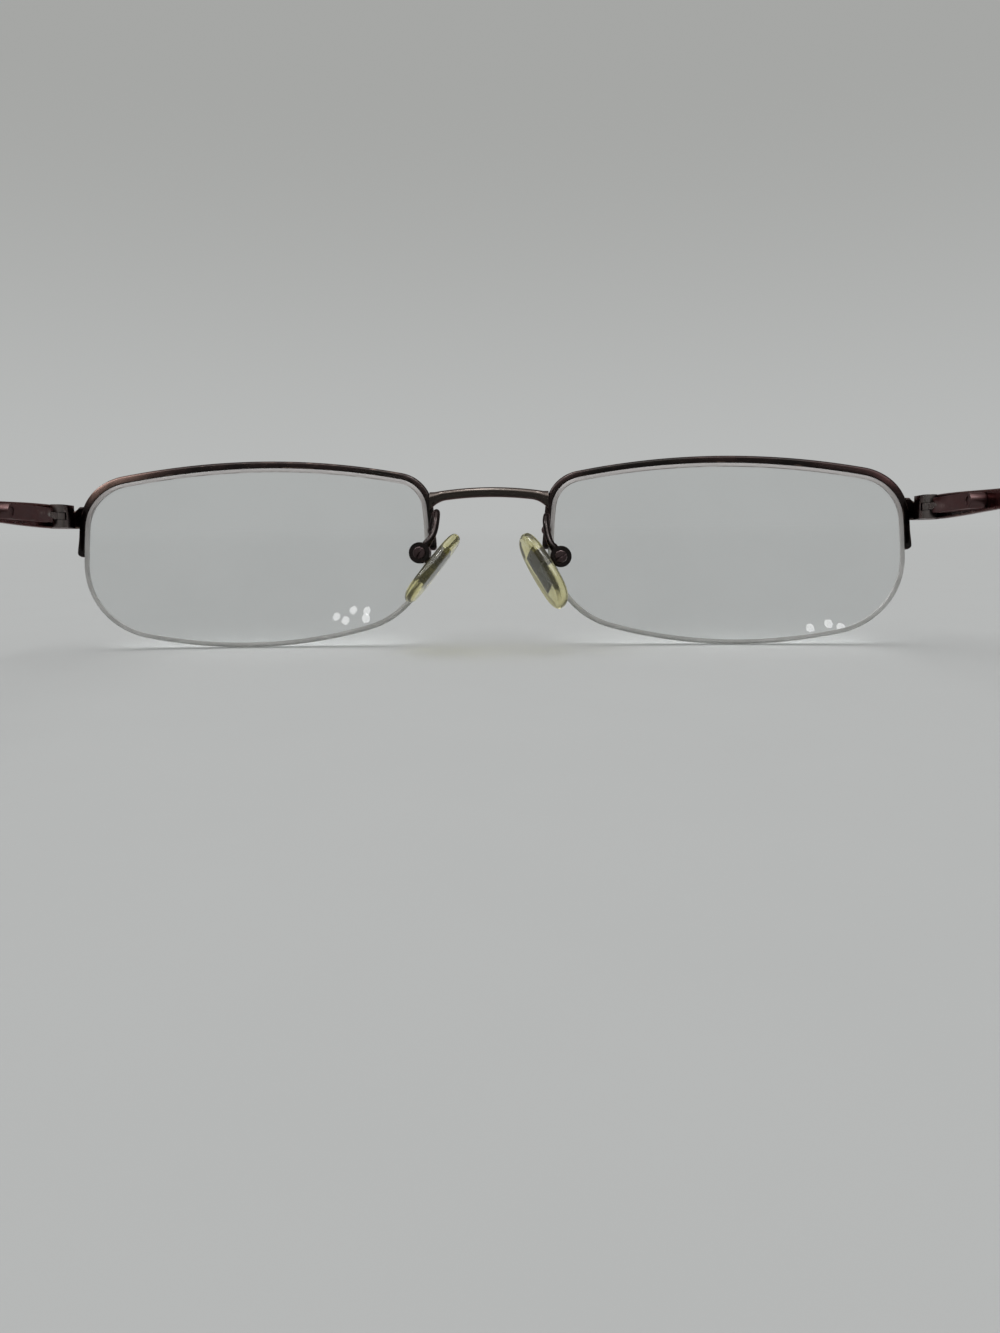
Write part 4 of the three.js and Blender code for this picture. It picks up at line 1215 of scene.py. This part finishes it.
def liner_mesh(side):
    inside = CORD_INSERT + LINER_INSET
    edge = lens_edge(nasal_angle(RIM_NASAL_END + inside), temporal_angle(RIM_TEMPORAL_END + inside))
    low, high = FIT_GAP - GROOVE_DEPTH, RIM_CHANNEL_DEPTH
    middle = (low + high) / 2
    outward = row(at_edge(edge, middle + 1, 0), side) - row(at_edge(edge, middle, 0), side)
    path = line_object(row(at_edge(edge, middle, 0), side), outward=unit(outward), swell=np.ones(len(edge)))
    return swept_section(path, bar_outline(1, 1, LINER_CORNER, 3), high - low, LINER_WIDTH, nylon)


def cord_mesh(side):
    start = temporal_angle(RIM_TEMPORAL_END + CORD_INSERT)
    end = nasal_angle(RIM_NASAL_END + CORD_INSERT) - TURN
    edge = lens_edge(start, end)
    path = line_object(row(at_edge(edge, 0, 0), side), swell=np.ones(len(edge)))
    return grown(round_wire, path, {"Diameter": CORD_DIAMETER * MM, "Facets": 20, "Finish": nylon})


# Bridge and endpieces
def bridge_mesh():
    seat = edge_point(nasal_side, nasal_angle(BRIDGE_LEVEL - BRIDGE_HEIGHT / 2 - BRIDGE_FLARE))
    reach = at_edge(seat, FIT_GAP + RIM_THICKNESS, -RIM_DEPTH / 2)[0][0] - 2 * FIT_GAP
    depth = sag(-LENS_WIDTH / 2, BRIDGE_LEVEL) - LENS_THICKNESS / 2
    inside = reach + BRIDGE_SOLDER
    x = inside * -np.cos(np.linspace(0, math.pi, 97))
    arch = 1 - np.clip(x / reach, -1, 1) ** 2
    near = np.clip(1 - (inside - np.abs(x)) / BRIDGE_FILLET, 0, 1)
    drop = BRIDGE_FOOT * (1 - np.sqrt(1 - BRIDGE_FOOT_STEEPNESS * near**2))
    waist = lerp(1.0, BRIDGE_WAIST, smoothstep(np.abs(x), reach - BRIDGE_WAIST_RUN, inside))
    b = -rad(PANTOSCOPIC_ANGLE)
    forward, upward = np.array([0, math.cos(b), math.sin(b)]), np.array([0, -math.sin(b), math.cos(b)])
    rings = []
    for i, across in enumerate(x):
        level = BRIDGE_LEVEL + BRIDGE_RISE * arch[i] - drop[i] / 2
        middle = np.array([across, 0, 0]) + forward * (depth + BRIDGE_BOW * arch[i]) + upward * level
        outline = oval_outline(BRIDGE_DEPTH * waist[i], BRIDGE_HEIGHT + drop[i], BRIDGE_SQUARENESS, 40)
        rings.append(row(middle + outline[:, :1] * forward + outline[:, 1:] * upward))
    return ring_mesh(rings)


def endpiece_mesh(side):
    """Bar from the rim round a bend and back to the hinge, growing to the temple's height."""
    start_x = rim_side[0] - SOLDER_REACH
    bend_x, bend_y = blade_middle - ENDPIECE_BEND, rim_side[1] - ENDPIECE_BEND
    turn = np.linspace(math.pi / 2, 0, 18)
    bend = np.stack([bend_x + ENDPIECE_BEND * np.cos(turn), bend_y + ENDPIECE_BEND * np.sin(turn)], 1)
    lead = np.linspace((start_x, rim_side[1]), bend[0], 9)[:-1]
    tail = np.linspace(bend[-1], (blade_middle, butt_y), 9)[1:]
    flat = np.vstack([lead, bend, tail])
    path = np.column_stack([flat, np.zeros(len(flat))])
    run = run_lengths(path)
    rise = smoothstep(run, run[6], run[-4])
    fillet = ENDPIECE_FLARE * np.clip(1 - (run - SOLDER_REACH) / ENDPIECE_FLARE_RUN, 0, 1) ** 2
    height = lerp(ENDPIECE_HEIGHT, BLADE_HEIGHT, rise) + fillet
    level = HINGE_LEVEL - ENDPIECE_DROP * (1 - rise) + fillet / 2
    butt = np.ones((len(path), 2))
    butt[-1] = ENDPIECE_BUTT

    def outline(i):
        return bar_outline(BLADE_THICKNESS, height[i], BAR_CORNER) * butt[i]

    rings = swept_rings(path, (0, 0, 1), outline)
    return ring_mesh([row(r + (0, 0, z), side) for r, z in zip(rings, level)])


# Hinge parts, drawn on the right and mirrored
def on_hinge(y):
    """Point of the line that runs straight back through the middle of the hinge."""
    return hinge[0], y, hinge[2]


def hinge_leaf_mesh():
    """Leaf with two knuckles, which have the paler barrel plating, a painted highlight."""
    inner = blade_inner - FIT_GAP
    tall = 2 * leaf_tall
    front = butt_y + LEAF_LENGTH
    wide = inner - (hinge[0] - KNUCKLE_RADIUS)
    deep = front - hinge[1]
    keep_long = front - (butt_y + 2 * FIT_GAP)
    gap = EYE_HEIGHT + 2 * FIT_GAP
    head_hole = 2 * (HINGE_HEAD_HEIGHT + FIT_GAP)
    keep = [
        block((2 * KNUCKLE_RADIUS, deep, tall), on_hinge(hinge[1] + deep / 2)),
        block((wide, keep_long, tall), (inner - wide / 2, front - keep_long / 2, hinge[2])),
        rod(KNUCKLE_RADIUS, tall, hinge, "Z"),
    ]
    cut = [
        rod(EYE_RADIUS + EYE_RELIEF, gap, hinge, "Z"),
        block((4, 2, gap), on_hinge(hinge[1] - 1)),
        rod(PIN_RADIUS + PIN_CLEARANCE, 2 * tall, hinge, "Z"),
        rod(HINGE_HEAD_RADIUS + PIN_CLEARANCE, head_hole, hinge + (0, 0, leaf_tall), "Z"),
    ]
    mesh = carved(keep, cut, KNUCKLE_ROUNDING)
    for face in mesh.polygons:
        face.material_index = int(face.center.y < hinge[1] + BARREL_HIGHLIGHT_REACH)
    return mesh


def hinge_eye_mesh():
    shoulder = case_front + FIT_GAP
    reach = hinge[1] - shoulder
    rod_end = case_front - STOP_LENGTH - SPRING_LENGTH - COLLAR_LENGTH - ROD_PAST_COLLAR
    rod_length = shoulder + ROD_IN_NECK - rod_end
    keep = [
        rod(EYE_RADIUS, EYE_HEIGHT - FIT_GAP, hinge, "Z"),
        block((NECK_SIZE, reach, NECK_SIZE), on_hinge(hinge[1] - reach / 2)),
        rod(SHANK_RADIUS, rod_length, on_hinge(rod_end + rod_length / 2), "Y", 32),
    ]
    cut = [rod(PIN_RADIUS + PIN_CLEARANCE, 4, hinge, "Z")]
    return carved(keep, cut, EYE_ROUNDING)


def spring_case_mesh():
    half = CASE_SIZE / 2
    straight = CASE_LENGTH - half
    x, z = hinge[0], hinge[2]
    keep = [
        block((CASE_SIZE, straight, CASE_SIZE), (x, case_front - straight / 2, z)),
        rod(half, CASE_SIZE, (x, case_front - straight, z), "X"),
    ]
    cut = [
        block((BORE_SIZE, 2 * BORE_LENGTH, BORE_SIZE), (x, case_front, z)),
        wedge(CASE_SIZE, (x - half, case_front, z), FORK_DEPTH, FORK_OPEN, FORK_AHEAD),
        rod(DIMPLE_RADIUS, 2 * DIMPLE_DEPTH, (x - half, case_front - straight, z), "X"),
    ]
    return carved(keep, cut, CASE_ROUNDING)


def spring_mesh(side):
    sizes = {
        "Turns": float(SPRING_TURNS),
        "Coil Radius": SPRING_RADIUS,
        "Wire Radius": SPRING_WIRE,
        "Length": SPRING_LENGTH - SPRING_PLAY - 2 * SPRING_WIRE,
        "Finish": steel,
    }
    mesh = grown(coil_spring, line_object([(0, 0, 0), (0, 0, 1)]), sizes)
    start = case_front - STOP_LENGTH - SPRING_PLAY - SPRING_WIRE
    mesh.transform(Matrix.Translation(on_hinge(start)) @ Matrix.Rotation(math.pi / 2, 4, "X"))
    return placed(mesh, side)


def screw_mesh(place, turn, head, dome, slot, shank):
    """Screw with its head at a place: head and shank by radius and length, slot by width and depth."""
    sizes = {
        "Head Radius": head[0],
        "Head Height": head[1],
        "Dome": dome,
        "Slot Width": slot[0],
        "Slot Depth": slot[1],
        "Shank Radius": shank[0],
        "Shank Length": shank[1],
        "Thread Depth": THREAD_DEPTH,
        "Thread Pitch": THREAD_PITCH,
    }
    values = {name: size * MM for name, size in sizes.items()}
    return grown(slotted_screw, line_object([place]), {**values, "Finish": steel, "Turned": turn.to_euler()})


# Temple arms and tips
ear_length = EAR_RADIUS * rad(EAR_ANGLE)
temple_length = EAR_RUN + ear_length + TIP_DROP


def temple_points(run):
    bent = np.clip((run - EAR_RUN) / EAR_RADIUS, 0, rad(EAR_ANGLE))
    past = np.maximum(0, run - EAR_RUN - ear_length)
    y = hinge[1] - np.minimum(run, EAR_RUN) - EAR_RADIUS * np.sin(bent) - past * np.cos(bent)
    z = hinge[2] - EAR_RADIUS * (1 - np.cos(bent)) - past * np.sin(bent)
    return np.stack([np.full(len(run), blade_middle), y, z], 1)


def temple_size(run):
    neck = smoothstep(run, 0, BLADE_WAIST_RUN)
    tail = np.clip((run - BLADE_WAIST_RUN) / (TIP_START - BLADE_WAIST_RUN), 0, 1)
    return lerp(lerp(BLADE_HEIGHT, BLADE_WAIST, neck), CORE_SIZE + BLADE_END_EXTRA, tail)


def temple_mesh(side):
    """Flat blade that tapers backwards and goes on as a square core inside the tip."""
    start, in_tip = BUTT_GAP - HINGE_SETBACK, TIP_START - 2 * FIT_GAP
    blade = np.concatenate([[start, start + 0.12], np.linspace(start + 0.5, in_tip - 0.01, 100)])
    core = np.linspace(in_tip, temple_length - CORE_SHORT, 60)
    run = np.concatenate([blade, core])
    size = temple_size(np.maximum(run, 0))
    butt = np.ones((len(run), 2))
    butt[0] = TEMPLE_BUTT

    def outline(i):
        if run[i] >= in_tip:
            return bar_outline(CORE_SIZE, CORE_SIZE, CORE_CORNER)
        return bar_outline(size[i] * butt[i, 0], BLADE_THICKNESS * butt[i, 1], BAR_CORNER)

    rings = swept_rings(temple_points(run), (1, 0, 0), outline)
    return ring_mesh([row(r, side) for r in rings], crease=TEMPLE_CREASE)


def tip_mesh(side):
    end, cap = temple_length, TIP_CAP
    lip_run, lip_share = np.array(TIP_LIP).T
    body = np.linspace(TIP_START + 0.8, end - cap, 110)
    nose = end - cap + cap * np.sin(np.linspace(0, 1, 14)[1:] * math.pi / 2)
    run = np.concatenate([TIP_START + lip_run, body, nose])
    start = smoothstep(run, *TIP_NECK)
    grow = smoothstep(run, TIP_START, end - TIP_FULL)
    lip = np.concatenate([lip_share, np.ones(len(body) + len(nose))])
    close = np.sqrt(np.maximum(0.004, 1 - np.maximum(0, (run - end + cap) / cap) ** 2)) * lip
    tall = lerp(lerp(TIP_MOUTH_HEIGHT, TIP_NECK_HEIGHT, start), TIP_HEIGHT, grow) * close
    wide = lerp(TIP_MOUTH_THICKNESS, TIP_THICKNESS, start) * close

    def outline(i):
        return oval_outline(tall[i], wide[i], TIP_SQUARENESS, 40)

    rings = swept_rings(temple_points(run), (1, 0, 0), outline)
    return ring_mesh([row(r, side) for r in rings])


# Nose pads
def pad_frame(which):
    turn = (
        Matrix.Rotation(-rad(PAD_LEAN[which]), 3, "Y")
        @ Matrix.Rotation(-rad(PAD_TILT), 3, "X")
        @ Matrix.Rotation(rad(PAD_SPLAY[which]), 3, "Z")
    )
    centre = Vector(pad_axes[which]) + turn @ Vector((-PAD_REACH[which], 0, -PAD_SLIDE[which]))
    centre.y = pad_axes[which][1] - PAD_SETBACK
    return Matrix.Translation(centre) @ turn.to_4x4()


def nose_pad_mesh(which, side):
    """Egg-shaped pad from rings of a level and a share of its size, skin side first."""
    frame_matrix = np.array(pad_frame(which))
    t = (np.arange(64) + 0.5) * TURN / 64
    round_b, round_a = oval_outline(2, 2, PAD_SQUARENESS, 64).T
    egg = 1 - PAD_EGG * np.sin(t)
    corner = np.linspace(0, math.pi / 2, 9)
    flat, bulge = PAD_SKIN_FLAT, PAD_EDGE_ROUND
    skin_side = [(-0.56 + 0.06 * s, flat * s) for s in (0.15, 0.4, 0.65, 0.85)]
    skin_edge = [(-0.5 + bulge * (1 - math.cos(a)), flat + (1 - flat) * math.sin(a)) for a in corner]
    back_edge = [(0.5 - bulge * (1 - math.sin(a)), 0.68 + 0.32 * math.cos(a)) for a in corner]
    back_side = [(0.5, 0.66 * s) for s in (0.85, 0.6, 0.3)]
    rings = []
    for level, share in [*skin_side, *skin_edge, *back_edge, *back_side]:
        across = PAD_WIDTH / 2 * share * round_b * egg
        along = PAD_LENGTH / 2 * min(share * 0.6 + 0.4, share * 4) * round_a
        local = np.stack([np.full(len(t), level * PAD_THICKNESS), across, along, np.ones(len(t))], 1)
        rings.append(row((local @ frame_matrix.T)[:, :3], side))
    return ring_mesh(rings, crease=PAD_CREASE)


def pad_core_mesh(which):
    """Metal core of a pad: steel plate and rib in the vinyl, plated boss and lug outside it."""
    place, pad_axis = pad_frame(which), pad_axes[which]
    turn = place.to_3x3()
    root = np.array(place @ Vector((0, PAD_SETBACK, PAD_SLIDE[which])))
    way = pad_axis - root
    length = np.linalg.norm(way)
    z = unit(way)
    x = unit(np.cross((0, 1, 0), z))
    lug_turn = Matrix(np.stack([x, np.cross(z, x), z], 1).tolist())
    plate = place @ Vector(PAD_PLATE_SHIFT)
    boss = place @ (Vector(PAD_BOSS_SHIFT) + Vector((0, 0, PAD_SLIDE[which])))
    keep = [
        block((PAD_PLATE_THICKNESS, PAD_PLATE_WIDTH, PAD_PLATE_LENGTH), plate, turn),
        block(PAD_RIB, plate, turn),
        block(PAD_BOSS, boss, turn),
        block((PAD_LUG_WIDTH, PAD_LUG_THICKNESS, length), (pad_axis + root) / 2, lug_turn),
        rod(PAD_EYE_RADIUS, PAD_LUG_THICKNESS, pad_axis, "Y", 40),
    ]
    cut = [rod(PAD_SCREW_RADIUS + PIN_CLEARANCE, 4, pad_axis, "Y", 32)]
    mesh = carved(keep, cut, PAD_CORE_ROUNDING)
    inside = place.inverted()
    for face in mesh.polygons:
        at = inside @ face.center
        off_rib = abs(at.x - PAD_PLATE_SHIFT[0]) > PAD_RIB[0] / 2 + FIT_GAP
        beside_plate = abs(at.y - PAD_PLATE_SHIFT[1]) > PAD_PLATE_WIDTH / 2 + FIT_GAP
        face.material_index = int(off_rib or beside_plate)
    return mesh


def pad_box_mesh(which):
    pad_axis = pad_axes[which]
    gap = PAD_LUG_THICKNESS + 2 * FIT_GAP + PAD_LUG_PLAY
    keep = [rod(PAD_BOX_RADIUS, PAD_BOX_LENGTH, pad_axis, "Y")]
    cut = [
        rod(PAD_SLOT_RADIUS, gap, pad_axis, "Y"),
        block((5, gap, 4), (pad_axis[0] - 2, pad_axis[1], pad_axis[2] - 1.8)),
        rod(PAD_SCREW_RADIUS + PIN_CLEARANCE, 6, pad_axis, "Y", 32),
    ]
    return carved(keep, cut, PAD_CUP_ROUNDING)


def pad_arm_mesh(which, side):
    """Wire from behind the rim, up over a loop and down onto the pad's cup."""
    pad_axis, reach_out = pad_axes[which], PAD_LOOP_REACH[which]
    seat = edge_point(nasal_side, nasal_angle(PAD_WIRE_LEVEL))

    def behind(gap):
        return at_edge(seat, RIM_THICKNESS / 2, -RIM_DEPTH / 2 - gap)[0]

    def onto(gap):
        return pad_axis + np.array([-0.6, 0, 0.8]) * (PAD_BOX_RADIUS + gap)

    def loop(reach, forward, height):
        return pad_axis + np.array([-reach, forward, height])

    top = loop(reach_out, PAD_LOOP_FORWARD, PAD_LOOP_HEIGHT)
    rise = lerp(behind(0.5), top, 0.62) + np.array([0, 0, PAD_WIRE / 2])
    stops = [
        behind(FIT_GAP),
        behind(0.5),
        rise,
        top,
        loop(reach_out + 0.1, PAD_LOOP_FORWARD * 0.55, PAD_LOOP_HEIGHT * 0.85),
        loop(reach_out * 0.9, PAD_LOOP_FORWARD * 0.2, PAD_LOOP_HEIGHT * 0.5),
        onto(0.7),
        onto(2 * FIT_GAP),
    ]
    wire = np.vstack([behind(-SOLDER_REACH), smooth_path(stops, 90), onto(-CUP_SOLDER)])
    run = run_lengths(wire)
    foot = PAD_FOOT_SWELL * (1 - smoothstep(run, *PAD_FOOT_RUN))
    cup = PAD_CUP_SWELL * (1 - smoothstep(run[-1] - run, *PAD_CUP_RUN))
    path = line_object(row(wire, side), swell=1 + foot + cup)
    return grown(round_wire, path, {"Diameter": PAD_WIRE * MM, "Facets": 24, "Finish": brown_plating})


# Pieces, each with its CAD node, body, material slot, mesh and finishes
hinge_screw_sizes = {
    "head": (HINGE_HEAD_RADIUS, HINGE_HEAD_HEIGHT),
    "dome": 0.08,
    "slot": (0.24, 0.22),
    "shank": (PIN_RADIUS, 2 * leaf_tall - HINGE_HEAD_HEIGHT),
}
pad_screw_sizes = {
    "head": (PAD_HEAD_RADIUS, PAD_HEAD_HEIGHT),
    "dome": 0.14,
    "slot": (0.22, 0.24),
    "shank": (PAD_SCREW_RADIUS, PAD_BOX_LENGTH + 0.2),
}
hinge_head = hinge + np.array([0, 0, leaf_tall - HINGE_HEAD_HEIGHT / 2])
pad_head = np.array([0, -PAD_BOX_LENGTH / 2 - FIT_GAP - PAD_HEAD_HEIGHT / 2, 0])
up_turn = rest_turn.to_3x3()
back_turn = up_turn @ Matrix.Rotation(math.pi / 2, 3, "X")

add_piece("bridge_bar", bridge_mesh(), [bridge_plating], "front", ["bridge"])
leaf, eye, case = hinge_leaf_mesh(), hinge_eye_mesh(), spring_case_mesh()

for which, side in SIDES.items():
    slider, temple, pad = f"slider_{which}", f"temple_{which}", f"pad_{which}"
    hinge_turn = up_turn @ Matrix.Rotation(rad(HINGE_SLOT_ANGLE[which]), 3, "Z")
    hinge_screw = screw_mesh(row(hinge_head, side), hinge_turn, **hinge_screw_sizes)
    pad_turn = back_turn @ Matrix.Rotation(rad(PAD_SLOT_ANGLE[which]), 3, "Z")
    pad_screw = screw_mesh(row(pad_axes[which] + pad_head, side), pad_turn, **pad_screw_sizes)
    knuckles, eye_rod, spring_case = (placed(mesh, side) for mesh in (leaf, eye, case))
    cup, core = (placed(mesh, side) for mesh in (pad_box_mesh(which), pad_core_mesh(which)))
    pieces = [
        ("lens_glass", "lens", "front", "clear_lens", lens_mesh(side), glass, ground_edge, painted_shade_line),
        ("rim_wire", "rim", "front", "frame_metal", rim_mesh(side), brown_plating),
        ("rim_liner_strip", "rim_liner", "front", "nylon", liner_mesh(side), nylon),
        ("lens_cord_strand", "lens_cord", "front", "nylon", cord_mesh(side), nylon),
        ("endpiece_bar", "endpiece", "front", "frame_metal", endpiece_mesh(side), brown_plating),
        ("hinge_knuckles", "hinge_leaf", "front", "hinge_metal", knuckles, brown_plating, barrel_plating),
        ("pad_arm_wire", "pad_arm", "front", "frame_metal", pad_arm_mesh(which, side), brown_plating),
        ("pad_cup", "pad_box", "front", "frame_metal", cup, brown_plating),
        ("hinge_screw_slotted", "hinge_screw", "front", "bright_steel", hinge_screw, dark_steel),
        ("pad_screw_slotted", "pad_screw", "front", "bright_steel", pad_screw, dark_steel),
        ("hinge_eye_rod", "hinge_slider", slider, "hinge_metal", eye_rod, barrel_plating),
        ("temple_arm", "temple", temple, "frame_metal", temple_mesh(side), brown_plating),
        ("temple_cover", "temple_tip", temple, "tip_acetate", tip_mesh(side), acetate),
        ("spring_case", "spring_box", temple, "hinge_metal", spring_case, hinge_plating),
        ("return_spring", "spring", temple, "bright_steel", spring_mesh(side), steel),
        ("nose_pad_vinyl", "nose_pad", pad, "pad_silicone", nose_pad_mesh(which, side), vinyl),
        ("pad_core", "pad_plate", pad, "hinge_metal", core, core_steel, brown_plating),
    ]
    made = {}
    for name, node, body, slot, mesh, *finishes in pieces:
        made[name] = add_piece(f"{name}_{which}", mesh, finishes, body, [f"{node}_{which}"])

    coil = made["return_spring"]
    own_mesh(coil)
    for inner in ("spring_stop", "spring_collar"):
        frame["nodes"][f"{inner}_{which}"].material_slots[0].material = steel

# Camera
camera_data = bpy.data.cameras.new("photo_camera")
camera_data.sensor_fit = "AUTO"
camera_data.sensor_width = 36.0
camera_data.lens = FOCAL_PIXELS / max(IMAGE_WIDTH, IMAGE_HEIGHT) * camera_data.sensor_width
camera_data.clip_start = 0.001
camera_data.clip_end = 50.0
camera = new_object("photo_camera", camera_data)
yaw, pitch, roll = rad(CAMERA_YAW), rad(CAMERA_PITCH), rad(CAMERA_ROLL)
ahead = Vector((math.sin(yaw) * math.cos(pitch), math.cos(yaw) * math.cos(pitch), -math.sin(pitch)))
level_right = ahead.cross(Vector((0, 0, 1))).normalized()
level_up = level_right.cross(ahead)
right = level_right * math.cos(roll) + level_up * math.sin(roll)
up = right.cross(ahead)
camera_turn = Matrix((right, up, -ahead)).transposed().to_4x4()
camera.matrix_world = Matrix.Translation(Vector(EYE_POINT) * MM + rest_shift) @ camera_turn
bpy.context.scene.camera = camera

# Table, sky and lamps, in metres
TABLE_COLOUR = (0.515, 0.525, 0.52, 1.0)
TABLE_SHADE = 0.97
TABLE_RADIUS = 8.0
TABLE_LEVEL = -0.00007
TABLE_FADE = (0.35, 1.6)
SKY_LOW = (0.485, 0.495, 0.49, 1.0)
SKY_HIGH = (0.38, 0.385, 0.375, 1.0)
SKY_BAND = (0.0, 0.38)
SKY_LIGHT = (0.48, 0.48, 0.48, 1.0)
WASH_STRENGTH = 1.45
WASH_ANGLE = 70.0
WASH_TILT = (8.0, -14.0)
BULB_RADIUS = 0.0075
BULB_RADIANCE = 7.5
BULBS = [
    (-0.4343, -0.9501, 0.4984),
    (-0.4507, -0.9400, 0.5036),
    (-0.4651, -0.9424, 0.4860),
    (-0.4896, -0.9309, 0.4852),
    (-0.4873, -0.9258, 0.4971),
    (0.0394, -1.0096, 0.5427),
    (0.0060, -1.0127, 0.5358),
    (-0.0140, -1.0150, 0.5440),
]
PANEL_AIM = (0.0, 0.065, 0.022)
# Place, width, height and radiance of each panel
PANELS = {
    "ceiling_panel": ((0.0, -0.65, 0.86), 1.0, 0.55, 4.0),
    "ceiling_tube": ((-0.03, -0.45, 1.05), 0.1, 0.4, 25.0),
    "side_window": ((-0.64, -0.02, 0.70), 0.2, 0.2, 14.0),
}


def looked_at(tree):
    """One where the eye sees a thing, straight or by glass or gloss, and nought where it only gives light."""
    path = put(tree, "ShaderNodeLightPath").outputs
    by_way = calculate(tree, "MAXIMUM", path["Is Glossy Ray"], path["Is Transmission Ray"])
    return calculate(tree, "MAXIMUM", path["Is Camera Ray"], by_way)


def table_material():
    """Pale paper that fades into the sky far from the glasses."""
    finish, tree = empty_material("table_paper")
    here = put(tree, "ShaderNodeTexCoord").outputs["Object"]
    shaded = tuple(c * TABLE_SHADE for c in TABLE_COLOUR[:3]) + (1.0,)
    colour = mix_colour(tree, noise(tree, here, 60.0, 3.0), TABLE_COLOUR, shaded)
    matt = put(tree, "ShaderNodeBsdfDiffuse", {"Color": colour}).outputs[0]
    glow = put(tree, "ShaderNodeEmission", {"Color": SKY_LOW, "Strength": 1.0}).outputs[0]
    far = put(tree, "ShaderNodeVectorMath", {0: here}, operation="LENGTH").outputs["Value"]
    fade = times(tree, spread(tree, far, *TABLE_FADE), looked_at(tree))
    both = put(tree, "ShaderNodeMixShader", {0: fade, 1: matt, 2: glow})
    put(tree, "ShaderNodeOutputMaterial", {"Surface": both.outputs[0]})
    return finish


table_mesh = bpy.data.meshes.new("table")
build = bmesh.new()
bmesh.ops.create_circle(build, cap_ends=True, segments=96, radius=TABLE_RADIUS)
build.to_mesh(table_mesh)
build.free()
table_mesh.transform(Matrix.Translation((0, 0, TABLE_LEVEL)))
table_mesh.materials.append(table_material())
table = new_object("table", table_mesh)

world = bpy.data.worlds.new("studio")
bpy.context.scene.world = world
world.use_nodes = True
sky = world.node_tree
sky.nodes.clear()
height = split(sky, put(sky, "ShaderNodeTexCoord").outputs["Generated"])["Z"]
pale = mix_colour(sky, spread(sky, height, *SKY_BAND), SKY_LOW, SKY_HIGH)
shown = mix_colour(sky, looked_at(sky), SKY_LIGHT, pale)
backing = put(sky, "ShaderNodeBackground", {"Color": shown, "Strength": 1.0})
put(sky, "ShaderNodeOutputWorld", {"Surface": backing.outputs[0]})


def hang_gloss_lamp(lamp, place):
    """Hangs a lamp that shows only as a glint in metal and glass and lights nothing."""
    holder = new_object(lamp.name, lamp)
    holder.location = place
    holder.visible_camera = False
    holder.visible_diffuse = False
    holder.visible_transmission = False
    return holder


wash = bpy.data.lights.new("ceiling_wash", "SUN")
wash.energy = WASH_STRENGTH
wash.angle = rad(WASH_ANGLE)
new_object("ceiling_wash", wash).rotation_euler = (rad(WASH_TILT[0]), rad(WASH_TILT[1]), 0)

for i, place in enumerate(BULBS):
    lamp = bpy.data.lights.new(f"ceiling_bulb_{i + 1}", "POINT")
    lamp.shadow_soft_size = BULB_RADIUS
    lamp.energy = BULB_RADIANCE * (TURN * BULB_RADIUS) ** 2
    hang_gloss_lamp(lamp, place)

for name, (place, width, height, radiance) in PANELS.items():
    lamp = bpy.data.lights.new(name, "AREA")
    lamp.shape = "RECTANGLE"
    lamp.size, lamp.size_y = width, height
    lamp.energy = radiance * math.pi * width * height
    holder = hang_gloss_lamp(lamp, place)
    holder.rotation_mode = "QUATERNION"
    holder.rotation_quaternion = (Vector(PANEL_AIM) - Vector(place)).to_track_quat("-Z", "Y")

scene = bpy.context.scene
scene.view_settings.view_transform = "Standard"
